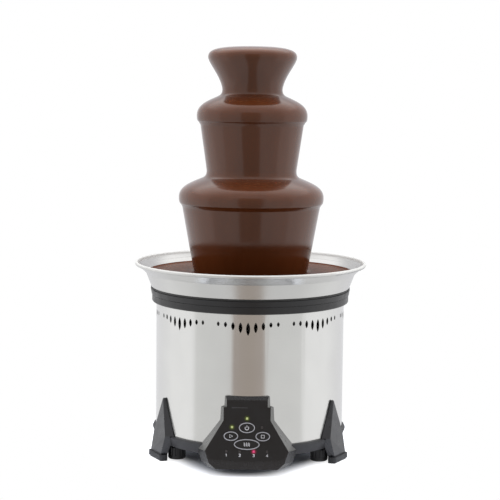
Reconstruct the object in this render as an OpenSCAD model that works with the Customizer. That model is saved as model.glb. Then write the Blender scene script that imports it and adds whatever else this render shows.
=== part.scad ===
// Chocolate fountain: a steel drum on three legs carries a heated bowl,
// and a screw in the middle lifts chocolate through a two-tier tower.
// Millimetres, +Z up, origin on the table under the tower's axis, control pod towards -Y.

/* [Base] */
// Height of the base tray's underside above the table
ground_gap = 18; // [14:1:24]
// How far the band round the foot of the drum stands out from it
band_out = 3.8; // [2.6:0.1:5]
// Height of the band
band_h = 12; // [10:0.5:15]
// How far the band tapers in towards its foot
band_taper = 4.6; // [3:0.1:5.6]
// Depth of the groove that the drum stands in
groove_h = 6; // [4:0.5:7]
// Thickness of the base tray's floor
tray_floor = 3; // [2:0.5:4]
// Height of the tray's spigot inside the drum
spigot_h = 12; // [8:1:16]
// Thickness of the spigots inside the drum
spigot_t = 3.3; // [2.5:0.1:4]

/* [Drum] */
// Outer radius of the steel drum
shell_r = 105.4; // [102:0.2:107]
// Sheet thickness of the drum
shell_t = 0.8; // [0.6:0.1:1.2]
// Height of the drum's sheet
shell_h = 150; // [140:1:170]
// Number of vent groups round the drum
vent_groups = 8; // [4:1:8]
// Slots on each side of a group's middle slot
vent_side_slots = 4; // [2:1:4]
// Angle between neighbouring slots
vent_step = 4.4; // [4:0.1:4.7]
// Length of the middle slot
vent_long = 14.4; // [10:0.2:20]
// Length of the outermost slots
vent_short = 5.1; // [4:0.1:6]
// Width of the middle slot
vent_wide = 4.3; // [3:0.1:4.8]
// Width of the outermost slots
vent_narrow = 3; // [2:0.1:3.4]
// Distance of the slots' tops below the top ring
vent_drop = 8.6; // [6:0.1:14]

/* [Top ring and collar] */
// How far the lower black band stands out from the drum
ring_out = 4.9; // [4:0.1:7]
// Wall of the lower black band under the bowl
ring_wall = 3.2; // [2.4:0.1:5]
// Height of the lower black band
ring_h = 7.8; // [6.5:0.1:10]
// How far the lower band laps over the drum
ring_lap = 2.2; // [1.6:0.1:4]
// Radius of the lower band's rounded foot
ring_round = 1.8; // [1:0.1:3]
// How far the upper black band stands out from the lower one
collar_out = 0.6; // [0.4:0.1:1.5]
// Width of the upper black band's top edge
collar_edge_w = 0.7; // [0.5:0.1:2]
// Height of the upper black band
collar_h = 6.7; // [5:0.1:9]

/* [Bowl] */
// Sheet thickness of the bowl
bowl_t = 0.8; // [0.6:0.1:1]
// How far the bowl's floor hangs below the collar's foot
bowl_drop = 10.4; // [8:0.2:14]
// Radius of the bend between floor and wall
bowl_bend_r = 29.5; // [26:0.5:30]
// Lean of the bowl's wall from upright
wall_lean = 20.9; // [15:0.1:24]
// Height of the brim's start above the bowl's underside
brim_start_h = 35; // [33:0.5:45]
// Width of the flared brim to the middle of its rolled edge
brim_w = 10.3; // [7:0.1:14]
// Rise of the brim to the middle of its rolled edge
brim_rise = 9.5; // [6:0.1:12]
// Radius of the rolled edge
lip_r = 2; // [1.4:0.1:2.6]
// Thickness of the seal between bowl and collar
seal_t = 0.6; // [0.4:0.1:0.8]

/* [Tower] */
// Outer radius of the tower tube
tube_r = 24.5; // [23:0.1:25.5]
// Wall of the tower tube
tube_t = 2.5; // [2:0.1:3]
// Number of inlet arches in the tube's foot
inlet_count = 6; // [3:1:6]
// Width of an inlet arch
inlet_w = 12; // [8:1:14]
// Height of an inlet arch to the spring of its top
inlet_h = 16; // [10:1:20]
// Width of the foot flange beyond the tube
foot_flange_w = 9.5; // [8:0.5:11]
// Thickness of the foot flange
foot_flange_t = 2.5; // [2:0.5:4]
// Sheet thickness of the tiers and the crown
tier_t = 2; // [1.5:0.1:2.4]
// Length of the tiers' turned-down edge below its bend
tier_lip = 0.4; // [0.2:0.1:0.8]
// Wall of the tiers' sleeves on the tube
sleeve_t = 3.2; // [2.5:0.1:4]
// Height of the widest line of the lower tier's chocolate above the bowl's floor
lower_bulge_h = 117; // [112:0.5:125]
// Height of the widest line of the upper tier's chocolate above the lower tier's shoulder
upper_bulge_h = 69.2; // [62:0.2:80]
// Height of the widest line of the crown's chocolate above the upper tier's shoulder
crown_bulge_h = 39.5; // [35:0.5:46]

/* [Chocolate] */
// Depth of the chocolate in the bowl
pool_depth = 33; // [28:0.5:34]
// Thickness of the film over the tiers
film_t = 3; // [2.4:0.1:3.4]
// Thickness of the falling curtains
curtain_t = 2.2; // [1.6:0.1:2.6]
// Widest radius over the lower tier
lower_bulge_r = 80.7; // [74:0.2:84]
// Width of the lower tier's shoulder beyond the upper curtain
lower_shoulder_w = 1.8; // [1:0.1:3]
// Rise of the lower tier's shoulder above its widest line
lower_rise = 22.3; // [18:0.1:24]
// Radius of the lower curtain where it meets the pool
lower_foot_r = 63.4; // [58:0.2:70]
// Widest radius over the upper tier
upper_bulge_r = 61.4; // [58:0.2:66]
// Width of the upper tier's shoulder beyond the crown's foot
upper_shoulder_w = 0.7; // [0.4:0.1:1.4]
// Rise of the upper tier's shoulder above its widest line
upper_rise = 24; // [20:0.1:26]
// Radius of the upper curtain where it meets the lower tier
upper_foot_r = 50.2; // [47:0.1:52]
// Widest radius of the crown
crown_bulge_r = 49.6; // [46:0.2:54]
// How far the crown's foot stands out round the tower's sleeve
crown_skirt = 2.35; // [1.8:0.05:4]
// Rise of the chocolate's dome above the crown's widest line
dome_rise = 13.5; // [10:0.1:18]
// How far a curtain steps in under its tier's widest line
notch_in = 3.8; // [2.6:0.1:5]
// How far below the widest line the curtain starts
notch_drop = 8; // [7.4:0.1:10]

/* [Drive] */
// Radius of the output shaft
shaft_r = 4; // [3.5:0.1:4.5]
// Gap between the screw's flight and the tube
flight_gap = 0.8; // [0.6:0.1:2]
// Radius of the screw's core
core_r = 6; // [5:0.5:8]
// Pitch of the screw
flight_pitch = 38; // [30:1:48]
// Angle of flight material in a cut across the screw
flight_arc = 24; // [18:1:36]
// Gear module
gear_m = 1; // [0.96:0.01:1.04]
// Teeth of the motor pinion
pinion_teeth = 12; // [12:1:14]
// Teeth of the compound gear's own pinion
second_teeth = 15; // [14:1:16]
// Teeth of either meshing pair taken together
pair_teeth = 60; // [58:1:62]
// Tooth thinning on each gear for backlash
backlash = 0.14; // [0.1:0.02:0.2]
// Thickness of the gear plates
plate_t = 3; // [2:0.5:4]
// Room between the gear plates
gear_space = 26; // [25:0.5:30]
// Length of the posts that hang the gear frame under the bowl
hanger_h = 19.2; // [17:0.2:24]
// Radius of the motor's can
motor_r = 29; // [27:0.5:32]
// Length of the motor's can
motor_h = 44; // [40:1:50]
// Radius of the motor's shaft
motor_shaft_r = 3; // [2.5:0.1:3.2]

/* [Heater] */
// Inner radius of the heat plate
heater_in_r = 37; // [36:0.5:42]
// How far the heat plate's edge lies inside the bowl's flat floor
heater_inset = 5.6; // [3:0.1:10]
// Thickness of the heat plate
heater_t = 2.5; // [2:0.1:4]
// How far the heating tube lies inside the heat plate's edge
element_inset = 12; // [8:0.5:16]
// Radius of the heating tube
element_r = 3.3; // [2.5:0.1:4]

/* [Control pod] */
// Height of the pod's foot above the table
pod_z = 8; // [6:0.5:12]
// How far the pod's face stands out from the band at its foot
pod_proud = 10.1; // [9.4:0.1:12.4]
// Lean of the pod's face from upright
pod_lean = 8; // [7:0.1:8.6]
// Half width of the face at the top
neck_half = 21.8; // [21:0.1:24]
// Half width of the face under the step
shoulder_half = 25; // [24.5:0.1:27]
// Half width of the face at its widest
apron_half = 44.5; // [42:0.1:46]
// Half width of the face at the lower corners
chin_half = 40; // [37:0.1:41]
// Half width of the pod's foot
foot_half = 33; // [28:0.5:36]
// Distance up the face to the lower corners
chin_s = 6; // [5:0.1:8]
// Distance up the face to its widest line
apron_s = 19.2; // [17:0.1:21]
// Distance up the face to the foot of the neck
neck_s = 51.5; // [49:0.1:54]
// Distance up the face to the step in the neck
step_s = 65.6; // [63:0.1:68]
// Distance up the face to the pod's top
pod_top_s = 73.4; // [71:0.1:78]
// Wall of the pod
pod_wall = 2.2; // [1.8:0.1:2.6]
// Outward lean of the pod's sides, sideways for each mm of depth
side_draft = 0.36; // [0.3:0.01:0.42]
// Height of the bevel along the pod's top
top_rise = 3.7; // [2:0.1:5]
// Depth of that bevel
top_run = 3; // [2:0.1:3.2]

/* [Panel] */
// Thickness of the printed front sheet
overlay_t = 0.8; // [0.5:0.1:1.2]
// Margin of the front sheet inside the pod's face
overlay_margin = 1.2; // [0.8:0.1:2]
// Lowest point of the front sheet's curved edge, up the face
overlay_foot_s = 9; // [7.5:0.1:11]
// Rise of that edge towards its ends
overlay_sag = 2; // [1:0.1:3]
// Half width of the power key
power_a = 8.5; // [7:0.1:9]
// Half height of the power key
power_b = 5.5; // [4.5:0.1:5.6]
// Half width of the start and stop keys
side_a = 7.7; // [6:0.1:7.8]
// Half height of the start and stop keys
side_b = 4.9; // [4:0.1:5]
// Half width of the heat key
heat_a = 13.6; // [10:0.1:14]
// Half height of the heat key
heat_b = 5.6; // [4.5:0.1:5.7]
// Height of the keys above the front sheet
key_proud = 0.5; // [0.3:0.1:0.8]
// Travel of a key
key_travel = 0.6; // [0.4:0.1:0.8]
// Side of a square indicator light
light_w = 2.2; // [1.6:0.1:2.6]

/* [Legs] */
// Angle of the side legs from the front
leg_angle = 60; // [56:1:64]
// Height of a leg's tip above the table
leg_top = 70; // [60:1:80]
// How far a leg reaches to the front where it meets the band's top
leg_front = 20; // [17:0.5:22]
// How far a leg's ridge lies to the front at the band's top
leg_ridge = 14; // [11:0.5:16]
// How far a leg's outer corner lies to the back at the band's top
leg_back = 21; // [18:0.5:25]
// How far a leg stands out from the band at the band's top
leg_out = 3.2; // [2.6:0.1:6]
// How far a leg's outer face turns in towards its outer corner at the band's top
leg_turn = 3.2; // [2:0.1:4]
// How far a leg reaches to the front above its sole
leg_foot_front = 5; // [4:0.1:6]
// How far a leg's ridge lies to the front above its sole
leg_foot_ridge = 3; // [2:0.1:4]
// How far a leg's outer corner lies to the back above its sole
leg_foot_back = 25; // [21:0.5:28]
// How far a leg stands out from the band above its sole
leg_foot_out = 2.8; // [2:0.1:5]
// How far a leg's outer face turns in towards its outer corner above its sole
leg_foot_turn = 0.4; // [0:0.1:1.5]
// Rounding of a leg's upright edges above its sole
leg_foot_round = 1.6; // [1:0.1:1.8]
// Thickness of the rubber soles
sole_h = 7; // [5:0.5:8]
// How far the soles stand out round the legs
sole_proud = 2.2; // [1.4:0.1:2.6]
// How far the levelling feet lie inside the drum
level_in = 14.4; // [13:0.1:18]
// Radius of a levelling foot's knob
knob_r = 9.8; // [9:0.1:10.6]
// Height of a levelling foot's knob
knob_h = 14; // [10:0.5:14.6]
// Height of a levelling foot above the table when screwed in
knob_gap = 0.8; // [0.5:0.1:1.5]
// Radius of a levelling foot's screw
stud_r = 3; // [2.5:0.1:4]
// Travel of a levelling foot
level_travel = 6; // [4:0.5:8]

/* [Fits] */
// Radial clearance of a running shaft
run_fit = 0.05; // [0.02:0.01:0.1]
// Clearance of a piece slipped over another
slip_fit = 0.15; // [0.1:0.01:0.3]
// Clearance of parts pressed together
press_gap = 0.02; // [0.01:0.01:0.04]
// Gap between pieces that move past each other
free_gap = 0.3; // [0.3:0.05:0.5]

/* [Hidden] */
$fn = 96;

// Heights up the drum
tray_top = ground_gap + tray_floor;
band_top = ground_gap + band_h;
band_r = shell_r + band_out;
band_edge = 1.2;
shell_z = band_top - groove_h;
shell_top = shell_z + shell_h;
ring_r = shell_r + ring_out;
collar_foot_r = ring_r + collar_out;
ring_z = shell_top - ring_lap;
ring_top = ring_z + ring_h;
top_spigot_h = 11;
top_spigot_z = ring_z - top_spigot_h;
collar_top = ring_top + collar_h;
bowl_under = ring_top - bowl_drop;
floor_z = bowl_under + bowl_t;
pool_z = floor_z + pool_depth;

// Heights of the tower
tower_z = floor_z + free_gap;
lower_bulge_z = floor_z + lower_bulge_h;
lower_shoulder_z = lower_bulge_z + lower_rise;
upper_bulge_z = lower_shoulder_z + upper_bulge_h;
upper_shoulder_z = upper_bulge_z + upper_rise;
crown_bulge_z = upper_shoulder_z + crown_bulge_h;
film_out = film_t + free_gap;
sleeve_bore = tube_r + slip_fit;
sleeve_r = sleeve_bore + sleeve_t;
crown_foot_r = sleeve_r + film_out + crown_skirt;
lower_shoulder_r = upper_foot_r + lower_shoulder_w;
upper_shoulder_r = crown_foot_r + upper_shoulder_w;
cuff_h = 6.4;
cuff_t = 4;
lower_cuff_z = lower_shoulder_z + cuff_h;
upper_cuff_z = upper_shoulder_z + cuff_h / 2;
bead_w = 3;
bead_t = 4;
bead_drop = 16;
bead_z = lower_bulge_z - bead_drop;
joint_lift = 4;
joint_z = lower_shoulder_z + joint_lift;
crown_lift = 1;
crown_seat_z = upper_shoulder_z + crown_lift;
crown_rim_h = 4;
crown_rim_z = crown_bulge_z + crown_rim_h;
tube_drop = 14;
tube_top = crown_bulge_z - tube_drop;
flight_r = tube_r - tube_t - flight_gap;
flange_r = tube_r + foot_flange_w;
pin_r = 2.5;
pin_ring_r = tube_r + foot_flange_w / 2;
pin_h = 8;

// Heights of the drive
hub_flange_r = 16;
hub_flange_t = 3;
hub_r = 11;
hub_bore = 7;
hub_h = 20;
hub_top = floor_z + hub_h;
seal_h = 6;
seal_inset = 0.5;
hub_neck_r = 9.8;
hub_tail = 9;
bush_inset = 2;
nut_h = 7;
plate_top_z = bowl_under - hanger_h - plate_t;
plate_low_z = plate_top_z - gear_space - plate_t;
gear_floor = plate_low_z + plate_t;
pinion_lift = 2;
pinion_z = gear_floor + pinion_lift;
pinion_w = 8;
wheel_lift = 3;
wheel_z = gear_floor + wheel_lift;
wheel_w = 6;
gear_step = 4;
output_z = wheel_z + wheel_w + gear_step;
output_w = 7;
tooth_over = 1;
second_top = output_z + output_w + tooth_over;
wheel_teeth = pair_teeth - pinion_teeth;
output_teeth = pair_teeth - second_teeth;
gear_offset = gear_m * pair_teeth / 2;
idler_r = 2.5;
plate_edge = 2;
plate_r = gear_offset + plate_edge;
shaft_under = 1;
output_foot = output_z - shaft_under;
socket_gap = 2.5;
socket_z = hub_top + socket_gap;
socket_r = 11;
socket_h = 20;
drive_pin_r = 1.5;
drive_pin_lift = 4;
drive_pin_z = socket_z + drive_pin_lift;
drive_pin_half = 8.5;
shaft_over = 8;
shaft_top = drive_pin_z + shaft_over;
shaft_bore = shaft_r + run_fit;
flight_z = socket_z + socket_h;
flight_drop = 8;
flight_top = crown_bulge_z - flight_drop;
can_t = 1.5;
can_end_t = 3;
endcap_t = 4;
can_foot = plate_low_z - motor_h;
magnet_t = 4.4;
magnet_margin = 6;
core_air = 1;
core_margin = 8;
fan_w = 10;
fan_inset = 4;
fan_r = motor_r - fan_inset;
fan_blades = 7;
fan_gap = 2;
fan_z = can_foot - endcap_t - fan_gap - fan_w;
post_r = 4;
pillar_r = 3;
post_turn = 106.5;
post_at = [for (a = [0, post_turn, -post_turn]) (plate_r - post_r) * [sin(a), -cos(a)]];
pillar_at = concat(post_at, [[0, gear_offset + plate_r - pillar_r]]);

// Panel layout, across and up the face, and depths behind it
power_at = [0, 44.1];
side_gap = 3.3;
side_s = 35.1;
start_at = [-heat_a - side_gap, side_s];
stop_at = [heat_a + side_gap, side_s];
heat_at = [0, 26.5];
power_light_at = [0, 53.8];
start_light_at = [-15.9, 44.6];
stop_light_at = [15.9, 44.6];
level_row_s = 19;
level_row_x = [-21.6, -7.4, 7.4, 21.6];
key_side = 0.25;
key_flange_w = 0.5;
key_flange_t = 1.1;
key_stem_r = 1.5;
board_depth = 5.4;
board_t = 1.2;
switch_w = 4.5;
switch_h = 1.5;
plunger_r = 1.2;
pod_depth = 26;
pod_face_y = band_r + pod_proud;
panel_post_r = 2;
board_edge = 3;
board_side = shoulder_half + board_edge;
board_neck = neck_half - board_edge;
window_margin = 1.2;
window_half = board_neck + window_margin;
window_lift = 3;
window_z = band_top + window_lift;
window_top = pod_z + (power_light_at[1] + board_edge + window_margin) * cos(pod_lean);
board_post_at = [
    [board_side - board_edge, heat_at[1] - board_edge], [board_neck - board_edge, power_light_at[1]]];

// Angles of the legs, the tie rods and the cord's entry, from the front
leg_at = [-leg_angle, leg_angle, 180];
leg_reach = band_r + leg_out;
leg_foot_reach = band_r + leg_foot_out;
level_r = shell_r - level_in;
boss_over = 7;
boss_h = level_travel + boss_over;
rod_at = [90, 210, 330];
rod_inset = 9;
rod_ring_r = shell_r - rod_inset;
rod_r = 2.4;
rod_head_r = 4.5;
rod_head_h = 2.2;
rod_bite = 5;
lug_h = 8;
lug_r = 6;
gland_at = 150;
gland_lift = 14;
gland_z = band_top + gland_lift;
gland_bore = 3.6;
gland_neck_r = 6;
gland_flange_r = 9;
gland_flange_t = 2.5;
gland_len = 14;

// Points of an arc, angles in degrees
function arc(c, r, a0, a1, n = 16) =
    [for (i = [0 : n]) let (a = a0 + (a1 - a0) * i / n) c + r * [cos(a), sin(a)]];

// Points of a cubic curve
function curve(p, n = 20) =
    [for (i = [0 : n]) let (t = i / n, u = 1 - t)
        u * u * u * p[0] + 3 * u * u * t * p[1] + 3 * u * t * t * p[2] + t * t * t * p[3]];

function backwards(p) = [for (i = [len(p) - 1 : -1 : 0]) p[i]];
function shifted(p, d) = [for (q = p) q + d];
function ellipse(a, b, n = 48) = [for (i = [0 : n - 1]) [a * cos(360 * i / n), b * sin(360 * i / n)]];
function unit(v) = v / norm(v);
function left_of(v) = [-v[1], v[0]];

// A path moved sideways by d, to its left, with mitred corners
function beside(p, d) = [for (i = [0 : len(p) - 1])
    let (a = unit(p[max(i, 1)] - p[max(i, 1) - 1]))
    let (b = unit(p[min(i + 1, len(p) - 1)] - p[min(i, len(p) - 2)]))
    let (n = unit(left_of(a) + left_of(b)))
    p[i] + n * d / (n * left_of(a))];

// A closed outline of a path with a wall on its left
function walled(p, t) = concat(p, backwards(beside(p, t)));

// Seat of the bowl in the ring, and the outside of the bowl: floor, bend, wall and brim
seal_gap = 0.1;
seat_r = bowl_bend_r + seal_t + 2 * seal_gap;
bend_z = bowl_under + bowl_bend_r;
bowl_floor_r = ring_r - ring_wall - sqrt(seat_r * seat_r - (bend_z - ring_top) * (bend_z - ring_top));
heater_out_r = bowl_floor_r - heater_inset;
element_ring_r = heater_out_r - element_inset;
bend_centre = [bowl_floor_r, bend_z];
bend_end = bend_centre + bowl_bend_r * [cos(wall_lean), -sin(wall_lean)];
wall_rise = bowl_under + brim_start_h - bend_end[1];
brim_foot = bend_end + wall_rise * [tan(wall_lean), 1];
brim_end = brim_foot + [brim_w, brim_rise];
bend_path = arc(bend_centre, bowl_bend_r, -90, -wall_lean);
wall_path = concat(bend_path, [brim_foot]);

// Where the ring and the collar meet under the bowl, and the radius of their seat at a height
seat_split = -asin((bend_z - ring_top) / seat_r);
seat_end = bend_centre + seat_r * [cos(wall_lean), -sin(wall_lean)];
function seat_wall(z) = z > seat_end[1]
    ? seat_end[0] + (z - seat_end[1]) * tan(wall_lean)
    : bowl_floor_r + sqrt(seat_r * seat_r - (bend_z - z) * (bend_z - z));
collar_top_r = seat_wall(collar_top) + collar_edge_w;

// A rounded fall from a shoulder to a widest line: shares of the way out, the first fall and the upright end
function swell(top, edge, run, fall, upright) = curve([
    top, [top[0] + run * (edge[0] - top[0]), top[1] - fall * (top[1] - edge[1])],
    [edge[0], edge[1] + upright * (top[1] - edge[1])], edge]);

// Surfaces of the chocolate, from each shoulder down to its widest line
lower_top = swell([lower_shoulder_r, lower_shoulder_z], [lower_bulge_r, lower_bulge_z], 0.488, 0.224, 0.538);
upper_top = swell([upper_shoulder_r, upper_shoulder_z], [upper_bulge_r, upper_bulge_z], 0.36, 0.312, 0.562);
dome_top = swell([0, crown_bulge_z + dome_rise], [crown_bulge_r, crown_bulge_z], 0.6, 0.037, 0.741);

// The crown's side, from its widest line in to its foot
crown_foot_z = upper_cuff_z + free_gap;
crown_fall = crown_bulge_z - crown_foot_z;
crown_side = curve([
    [crown_bulge_r, crown_bulge_z], [crown_bulge_r, crown_bulge_z - 0.278 * crown_fall],
    [crown_foot_r + 0.031 * (crown_bulge_r - crown_foot_r), crown_foot_z + 0.397 * crown_fall],
    [crown_foot_r, crown_foot_z]]);

// Where a curtain leaves its tier
function notch(r, z) = [r - notch_in, z - notch_drop];
function under_bulge(r, z) = curve([
    [r, z], [r, z - notch_drop * 0.6], [r - notch_in * 0.5, z - notch_drop * 0.8], notch(r, z)], 8);

// Involute gear teeth
pressure = 25;
function involute(rb, a) = rb * [cos(a) + a * PI / 180 * sin(a), sin(a) - a * PI / 180 * cos(a)];
function roll_angle(rb, r) = sqrt(r * r / (rb * rb) - 1) * 180 / PI;
function half_tooth(z, r, rb) =
    90 / z + (tan(pressure) * 180 / PI - pressure) - backlash / 2 / r * 180 / PI;
function flank(z, n = 5) =
    let (r = gear_m * z / 2, rb = r * cos(pressure), ra = r + gear_m)
    let (rf = max(rb, r - gear_m * 1.05), a0 = roll_angle(rb, rf), a1 = roll_angle(rb, ra))
    let (turn = half_tooth(z, r, rb))
    [for (i = [0 : n]) let (q = involute(rb, a0 + (a1 - a0) * i / n))
        [q[0] * cos(turn) + q[1] * sin(turn), q[0] * sin(turn) - q[1] * cos(turn)]];
function root_point(z) =
    let (r = gear_m * (z / 2 - 1.25), p = flank(z)[0], a = atan2(p[1], p[0]))
    r * [cos(a), sin(a)];
function mirrored(p) = [p[0], -p[1]];
function tooth(z) = let (f = flank(z))
    concat([mirrored(root_point(z))], [for (q = f) mirrored(q)], backwards(f), [root_point(z)]);
function gear_outline(z) = [for (k = [0 : z - 1], q = tooth(z))
    let (a = 360 * k / z) [q[0] * cos(a) - q[1] * sin(a), q[0] * sin(a) + q[1] * cos(a)]];

// Placing helpers: round the axis from the front, and on the pod's face
module around(angle, r, z = 0) {
    rotate([0, 0, angle]) translate([0, -r, z]) children();
}
module on_face(depth = 0) {
    translate([0, -pod_face_y, pod_z]) rotate([90 - pod_lean, 0, 0]) translate([0, 0, -depth]) children();
}
module plug(r, z0, z1) {
    translate([0, 0, z0]) cylinder(r = r, h = z1 - z0);
}
module pipe(r_in, r_out, z0, z1) {
    difference() {
        plug(r_out, z0, z1);
        plug(r_in, z0 - 1, z1 + 1);
    }
}
module turned(points) {
    rotate_extrude() polygon(points);
}

// Base

module base_tray() {
    spigot_out = shell_r - shell_t - slip_fit;
    groove_out = shell_r + slip_fit;
    boss_wall = 5;
    boss_r = stud_r + boss_wall;
    slot_count = 12;
    slot_start = 40;
    slot_len = 22;
    slot_w = 5;
    color("#2b2b2d") difference() {
        union() {
            turned([
                [0, ground_gap], [band_r - band_taper, ground_gap],
                [band_r, band_top - band_edge], [band_r - band_edge, band_top], [groove_out, band_top],
                [groove_out, shell_z], [spigot_out, shell_z], [spigot_out, tray_top + spigot_h],
                [spigot_out - spigot_t, tray_top + spigot_h], [spigot_out - spigot_t, tray_top],
                [0, tray_top]]);
            for (a = leg_at) around(a, level_r) plug(boss_r, tray_top - 1, tray_top + boss_h);
            for (x = [-1, 1], y = [-1, 1]) translate([x * board_post_x, board_y + y * board_post_y])
                plug(board_post_r, tray_top - 1, board_z);
        }
        for (a = leg_at) around(a, level_r) plug(stud_r + run_fit, ground_gap - 1, tray_top + boss_h + 1);
        for (a = rod_at) around(a, rod_ring_r) plug(rod_r + slip_fit, ground_gap - 1, tray_top + 1);
        for (i = [0 : slot_count - 1]) rotate([0, 0, 360 * (i + 0.5) / slot_count]) 
            translate([slot_start, -slot_w / 2, ground_gap - 1]) cube([slot_len, slot_w, tray_floor + 2]);
    }
}

// Room that the band takes up, widened by a gap
module band_room(gap) {
    turned([
        [0, ground_gap], [band_r - band_taper + gap, ground_gap], [band_r + gap, band_top - band_edge],
        [band_r + gap, band_top + gap], [0, band_top + gap]]);
}

// The supply board lies behind the motor's fan
board_w = 74;
board_d = 32;
board_gap = 9;
board_y = motor_r + board_gap + board_d / 2;
board_post_r = 4;
board_post_in = 5;
board_post_x = board_w / 2 - board_post_in;
board_post_y = board_d / 2 - board_post_in;
board_lift = 7;
board_z = tray_top + board_lift;

module power_board() {
    sheet = 1.6;
    top = board_z + sheet;
    color("#2f6b3c") translate([-board_w / 2, board_y - board_d / 2, board_z])
        cube([board_w, board_d, sheet]);
    margin = 2;
    transformer = [28, board_d - 3 * margin, 20];
    relay = [16, 12, 14];
    terminals = [8, board_d - margin, 10];
    can_r = 6;
    can_h = 18;
    color("#303238") translate([margin + board_post_r * 2 - board_w / 2, board_y - transformer[1] / 2, top])
        cube(transformer);
    color("#1f4f9a") translate([margin, board_y - relay[1] - margin, top]) cube(relay);
    color("#222225") translate([can_r + margin, board_y + can_r + margin, top])
        cylinder(r = can_r, h = can_h);
    color("#d8d4c4") translate([board_w / 2 - margin - terminals[0], board_y - terminals[1] / 2, top])
        cube(terminals);
}

module cord_gland() {
    color("#202022") around(gland_at, 0, gland_z) rotate([90, 0, 0]) difference() {
        union() {
            translate([0, 0, shell_r]) cylinder(r = gland_flange_r, h = gland_flange_t);
            translate([0, 0, shell_r + gland_flange_t - gland_len]) cylinder(r = gland_neck_r, h = gland_len);
        }
        translate([0, 0, shell_r + gland_flange_t - gland_len - 1])
            cylinder(r = gland_bore, h = gland_len + 2);
    }
}

module tie_rods() {
    color("#9a9a98") for (a = rod_at) around(a, rod_ring_r) {
        plug(rod_r, ground_gap - 0.1, top_spigot_z + rod_bite);
        plug(rod_head_r, ground_gap - rod_head_h, ground_gap);
    }
}

// Drum

// Slot length and width at i places from the middle of a group
vent_taper = 0.2;
function vent_len(i) = max(vent_short, vent_long * (1 - vent_taper * abs(i)));
function vent_w(i) = vent_wide + (vent_narrow - vent_wide) * abs(i) / vent_side_slots;

// A slot with pointed ends: where two circles overlap
module lens(length, width) {
    r = (length * length + width * width) / (4 * width);
    intersection() {
        translate([r - width / 2, 0]) circle(r);
        translate([width / 2 - r, 0]) circle(r);
    }
}

module outer_shell() {
    punch = 5;
    color("#c9cbcc") difference() {
        pipe(shell_r - shell_t, shell_r, shell_z, shell_top);
        for (g = [0 : vent_groups - 1], i = [-vent_side_slots : vent_side_slots])
            around(360 * g / vent_groups + i * vent_step, shell_r, ring_z - vent_drop - vent_len(i) / 2)
                rotate([90, 0, 0]) translate([0, 0, -punch]) linear_extrude(2 * punch)
                    lens(vent_len(i), vent_w(i));
        translate([-window_half, -shell_r - punch, window_z])
            cube([2 * window_half, shell_r, window_top - window_z]);
        around(gland_at, 0, gland_z) rotate([90, 0, 0]) translate([0, 0, shell_r - punch])
            cylinder(r = gland_neck_r + slip_fit, h = 2 * punch);
    }
}

module top_ring() {
    spigot_out = shell_r - shell_t - slip_fit;
    groove_out = shell_r + slip_fit;
    seat_angle = 62;
    color("#222224") difference() {
        union() {
            turned(concat(
                [[spigot_out - spigot_t, top_spigot_z], [spigot_out, top_spigot_z],
                    [spigot_out, shell_top + slip_fit],
                    [groove_out, shell_top + slip_fit], [groove_out, ring_z]],
                arc([ring_r - ring_round, ring_z + ring_round], ring_round, -90, 0, 6),
                [[ring_r, ring_top]],
                backwards(arc(bend_centre, seat_r, -seat_angle, seat_split, 8))));
            for (a = rod_at) around(a, rod_ring_r) plug(lug_r, top_spigot_z, top_spigot_z + lug_h);
        }
        for (a = rod_at) around(a, rod_ring_r)
            plug(rod_r + press_gap, top_spigot_z - 1, top_spigot_z + lug_h + 1);
    }
}

module collar() {
    edge = 0.8;
    inside = arc(bend_centre, seat_r, seat_split, -wall_lean, 10);
    below = [for (q = inside) if (q[1] < collar_top) q];
    color("#222224") turned(concat(
        [[collar_foot_r - edge, ring_top], [collar_foot_r, ring_top + edge],
            [collar_top_r, collar_top - edge / 2], [seat_wall(collar_top), collar_top]],
        backwards(below)));
}

module bowl_seal() {
    in_r = bowl_bend_r + seal_gap;
    width = 10;
    color("#3a3a3a") turned(concat(
        arc(bend_centre, in_r, -wall_lean - width, -wall_lean, 6),
        backwards(arc(bend_centre, in_r + seal_t, -wall_lean - width, -wall_lean, 6))));
}

// Bowl

module basin() {
    outside = concat([[hub_neck_r + slip_fit, bowl_under]], wall_path, [brim_end]);
    color("#d4d6d7") union() {
        turned(walled(outside, bowl_t));
        rotate_extrude() translate(brim_end + [0, bowl_t / 2]) circle(lip_r);
    }
}

module locating_pins() {
    color("#c8caca") for (a = [0, 120, 240]) around(a + 60, pin_ring_r) plug(pin_r, floor_z, floor_z + pin_h);
}

module heater_plate() {
    color("#b9babb") pipe(heater_in_r, heater_out_r, bowl_under - heater_t, bowl_under);
}

module heater_element() {
    tail = 14;
    gap_angle = 30;
    z = bowl_under - heater_t - element_r;
    color("#6d6a66") union() {
        translate([0, 0, z]) rotate([0, 0, 90 + gap_angle / 2]) rotate_extrude(angle = 360 - gap_angle)
            translate([element_ring_r, 0]) circle(element_r);
        for (a = [-1, 1]) rotate([0, 0, 90 + a * gap_angle / 2]) translate([element_ring_r, 0, z - tail])
            cylinder(r = element_r, h = tail);
    }
}

module thermostat() {
    body_r = 7;
    body_h = 5;
    tab = [3, 0.8, 7];
    top = bowl_under - heater_t;
    middle = (heater_in_r + element_ring_r - element_r) / 2;
    color("#e2ddd0") translate([middle, 0, 0]) {
        plug(body_r, top - body_h, top);
        for (side = [-1, 1]) translate([0, side * body_r * 0.6, top - body_h - tab[2] / 2])
            cube(tab, center = true);
    }
}

// Shaft bearing through the bowl floor

module shaft_hub() {
    color("#c2c4c4") difference() {
        union() {
            plug(hub_flange_r, floor_z, floor_z + hub_flange_t);
            plug(hub_r, floor_z, hub_top);
            plug(hub_neck_r, bowl_under - hub_tail, floor_z);
        }
        plug(hub_bore, bowl_under - hub_tail - 1, hub_top + 1);
    }
}

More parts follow.
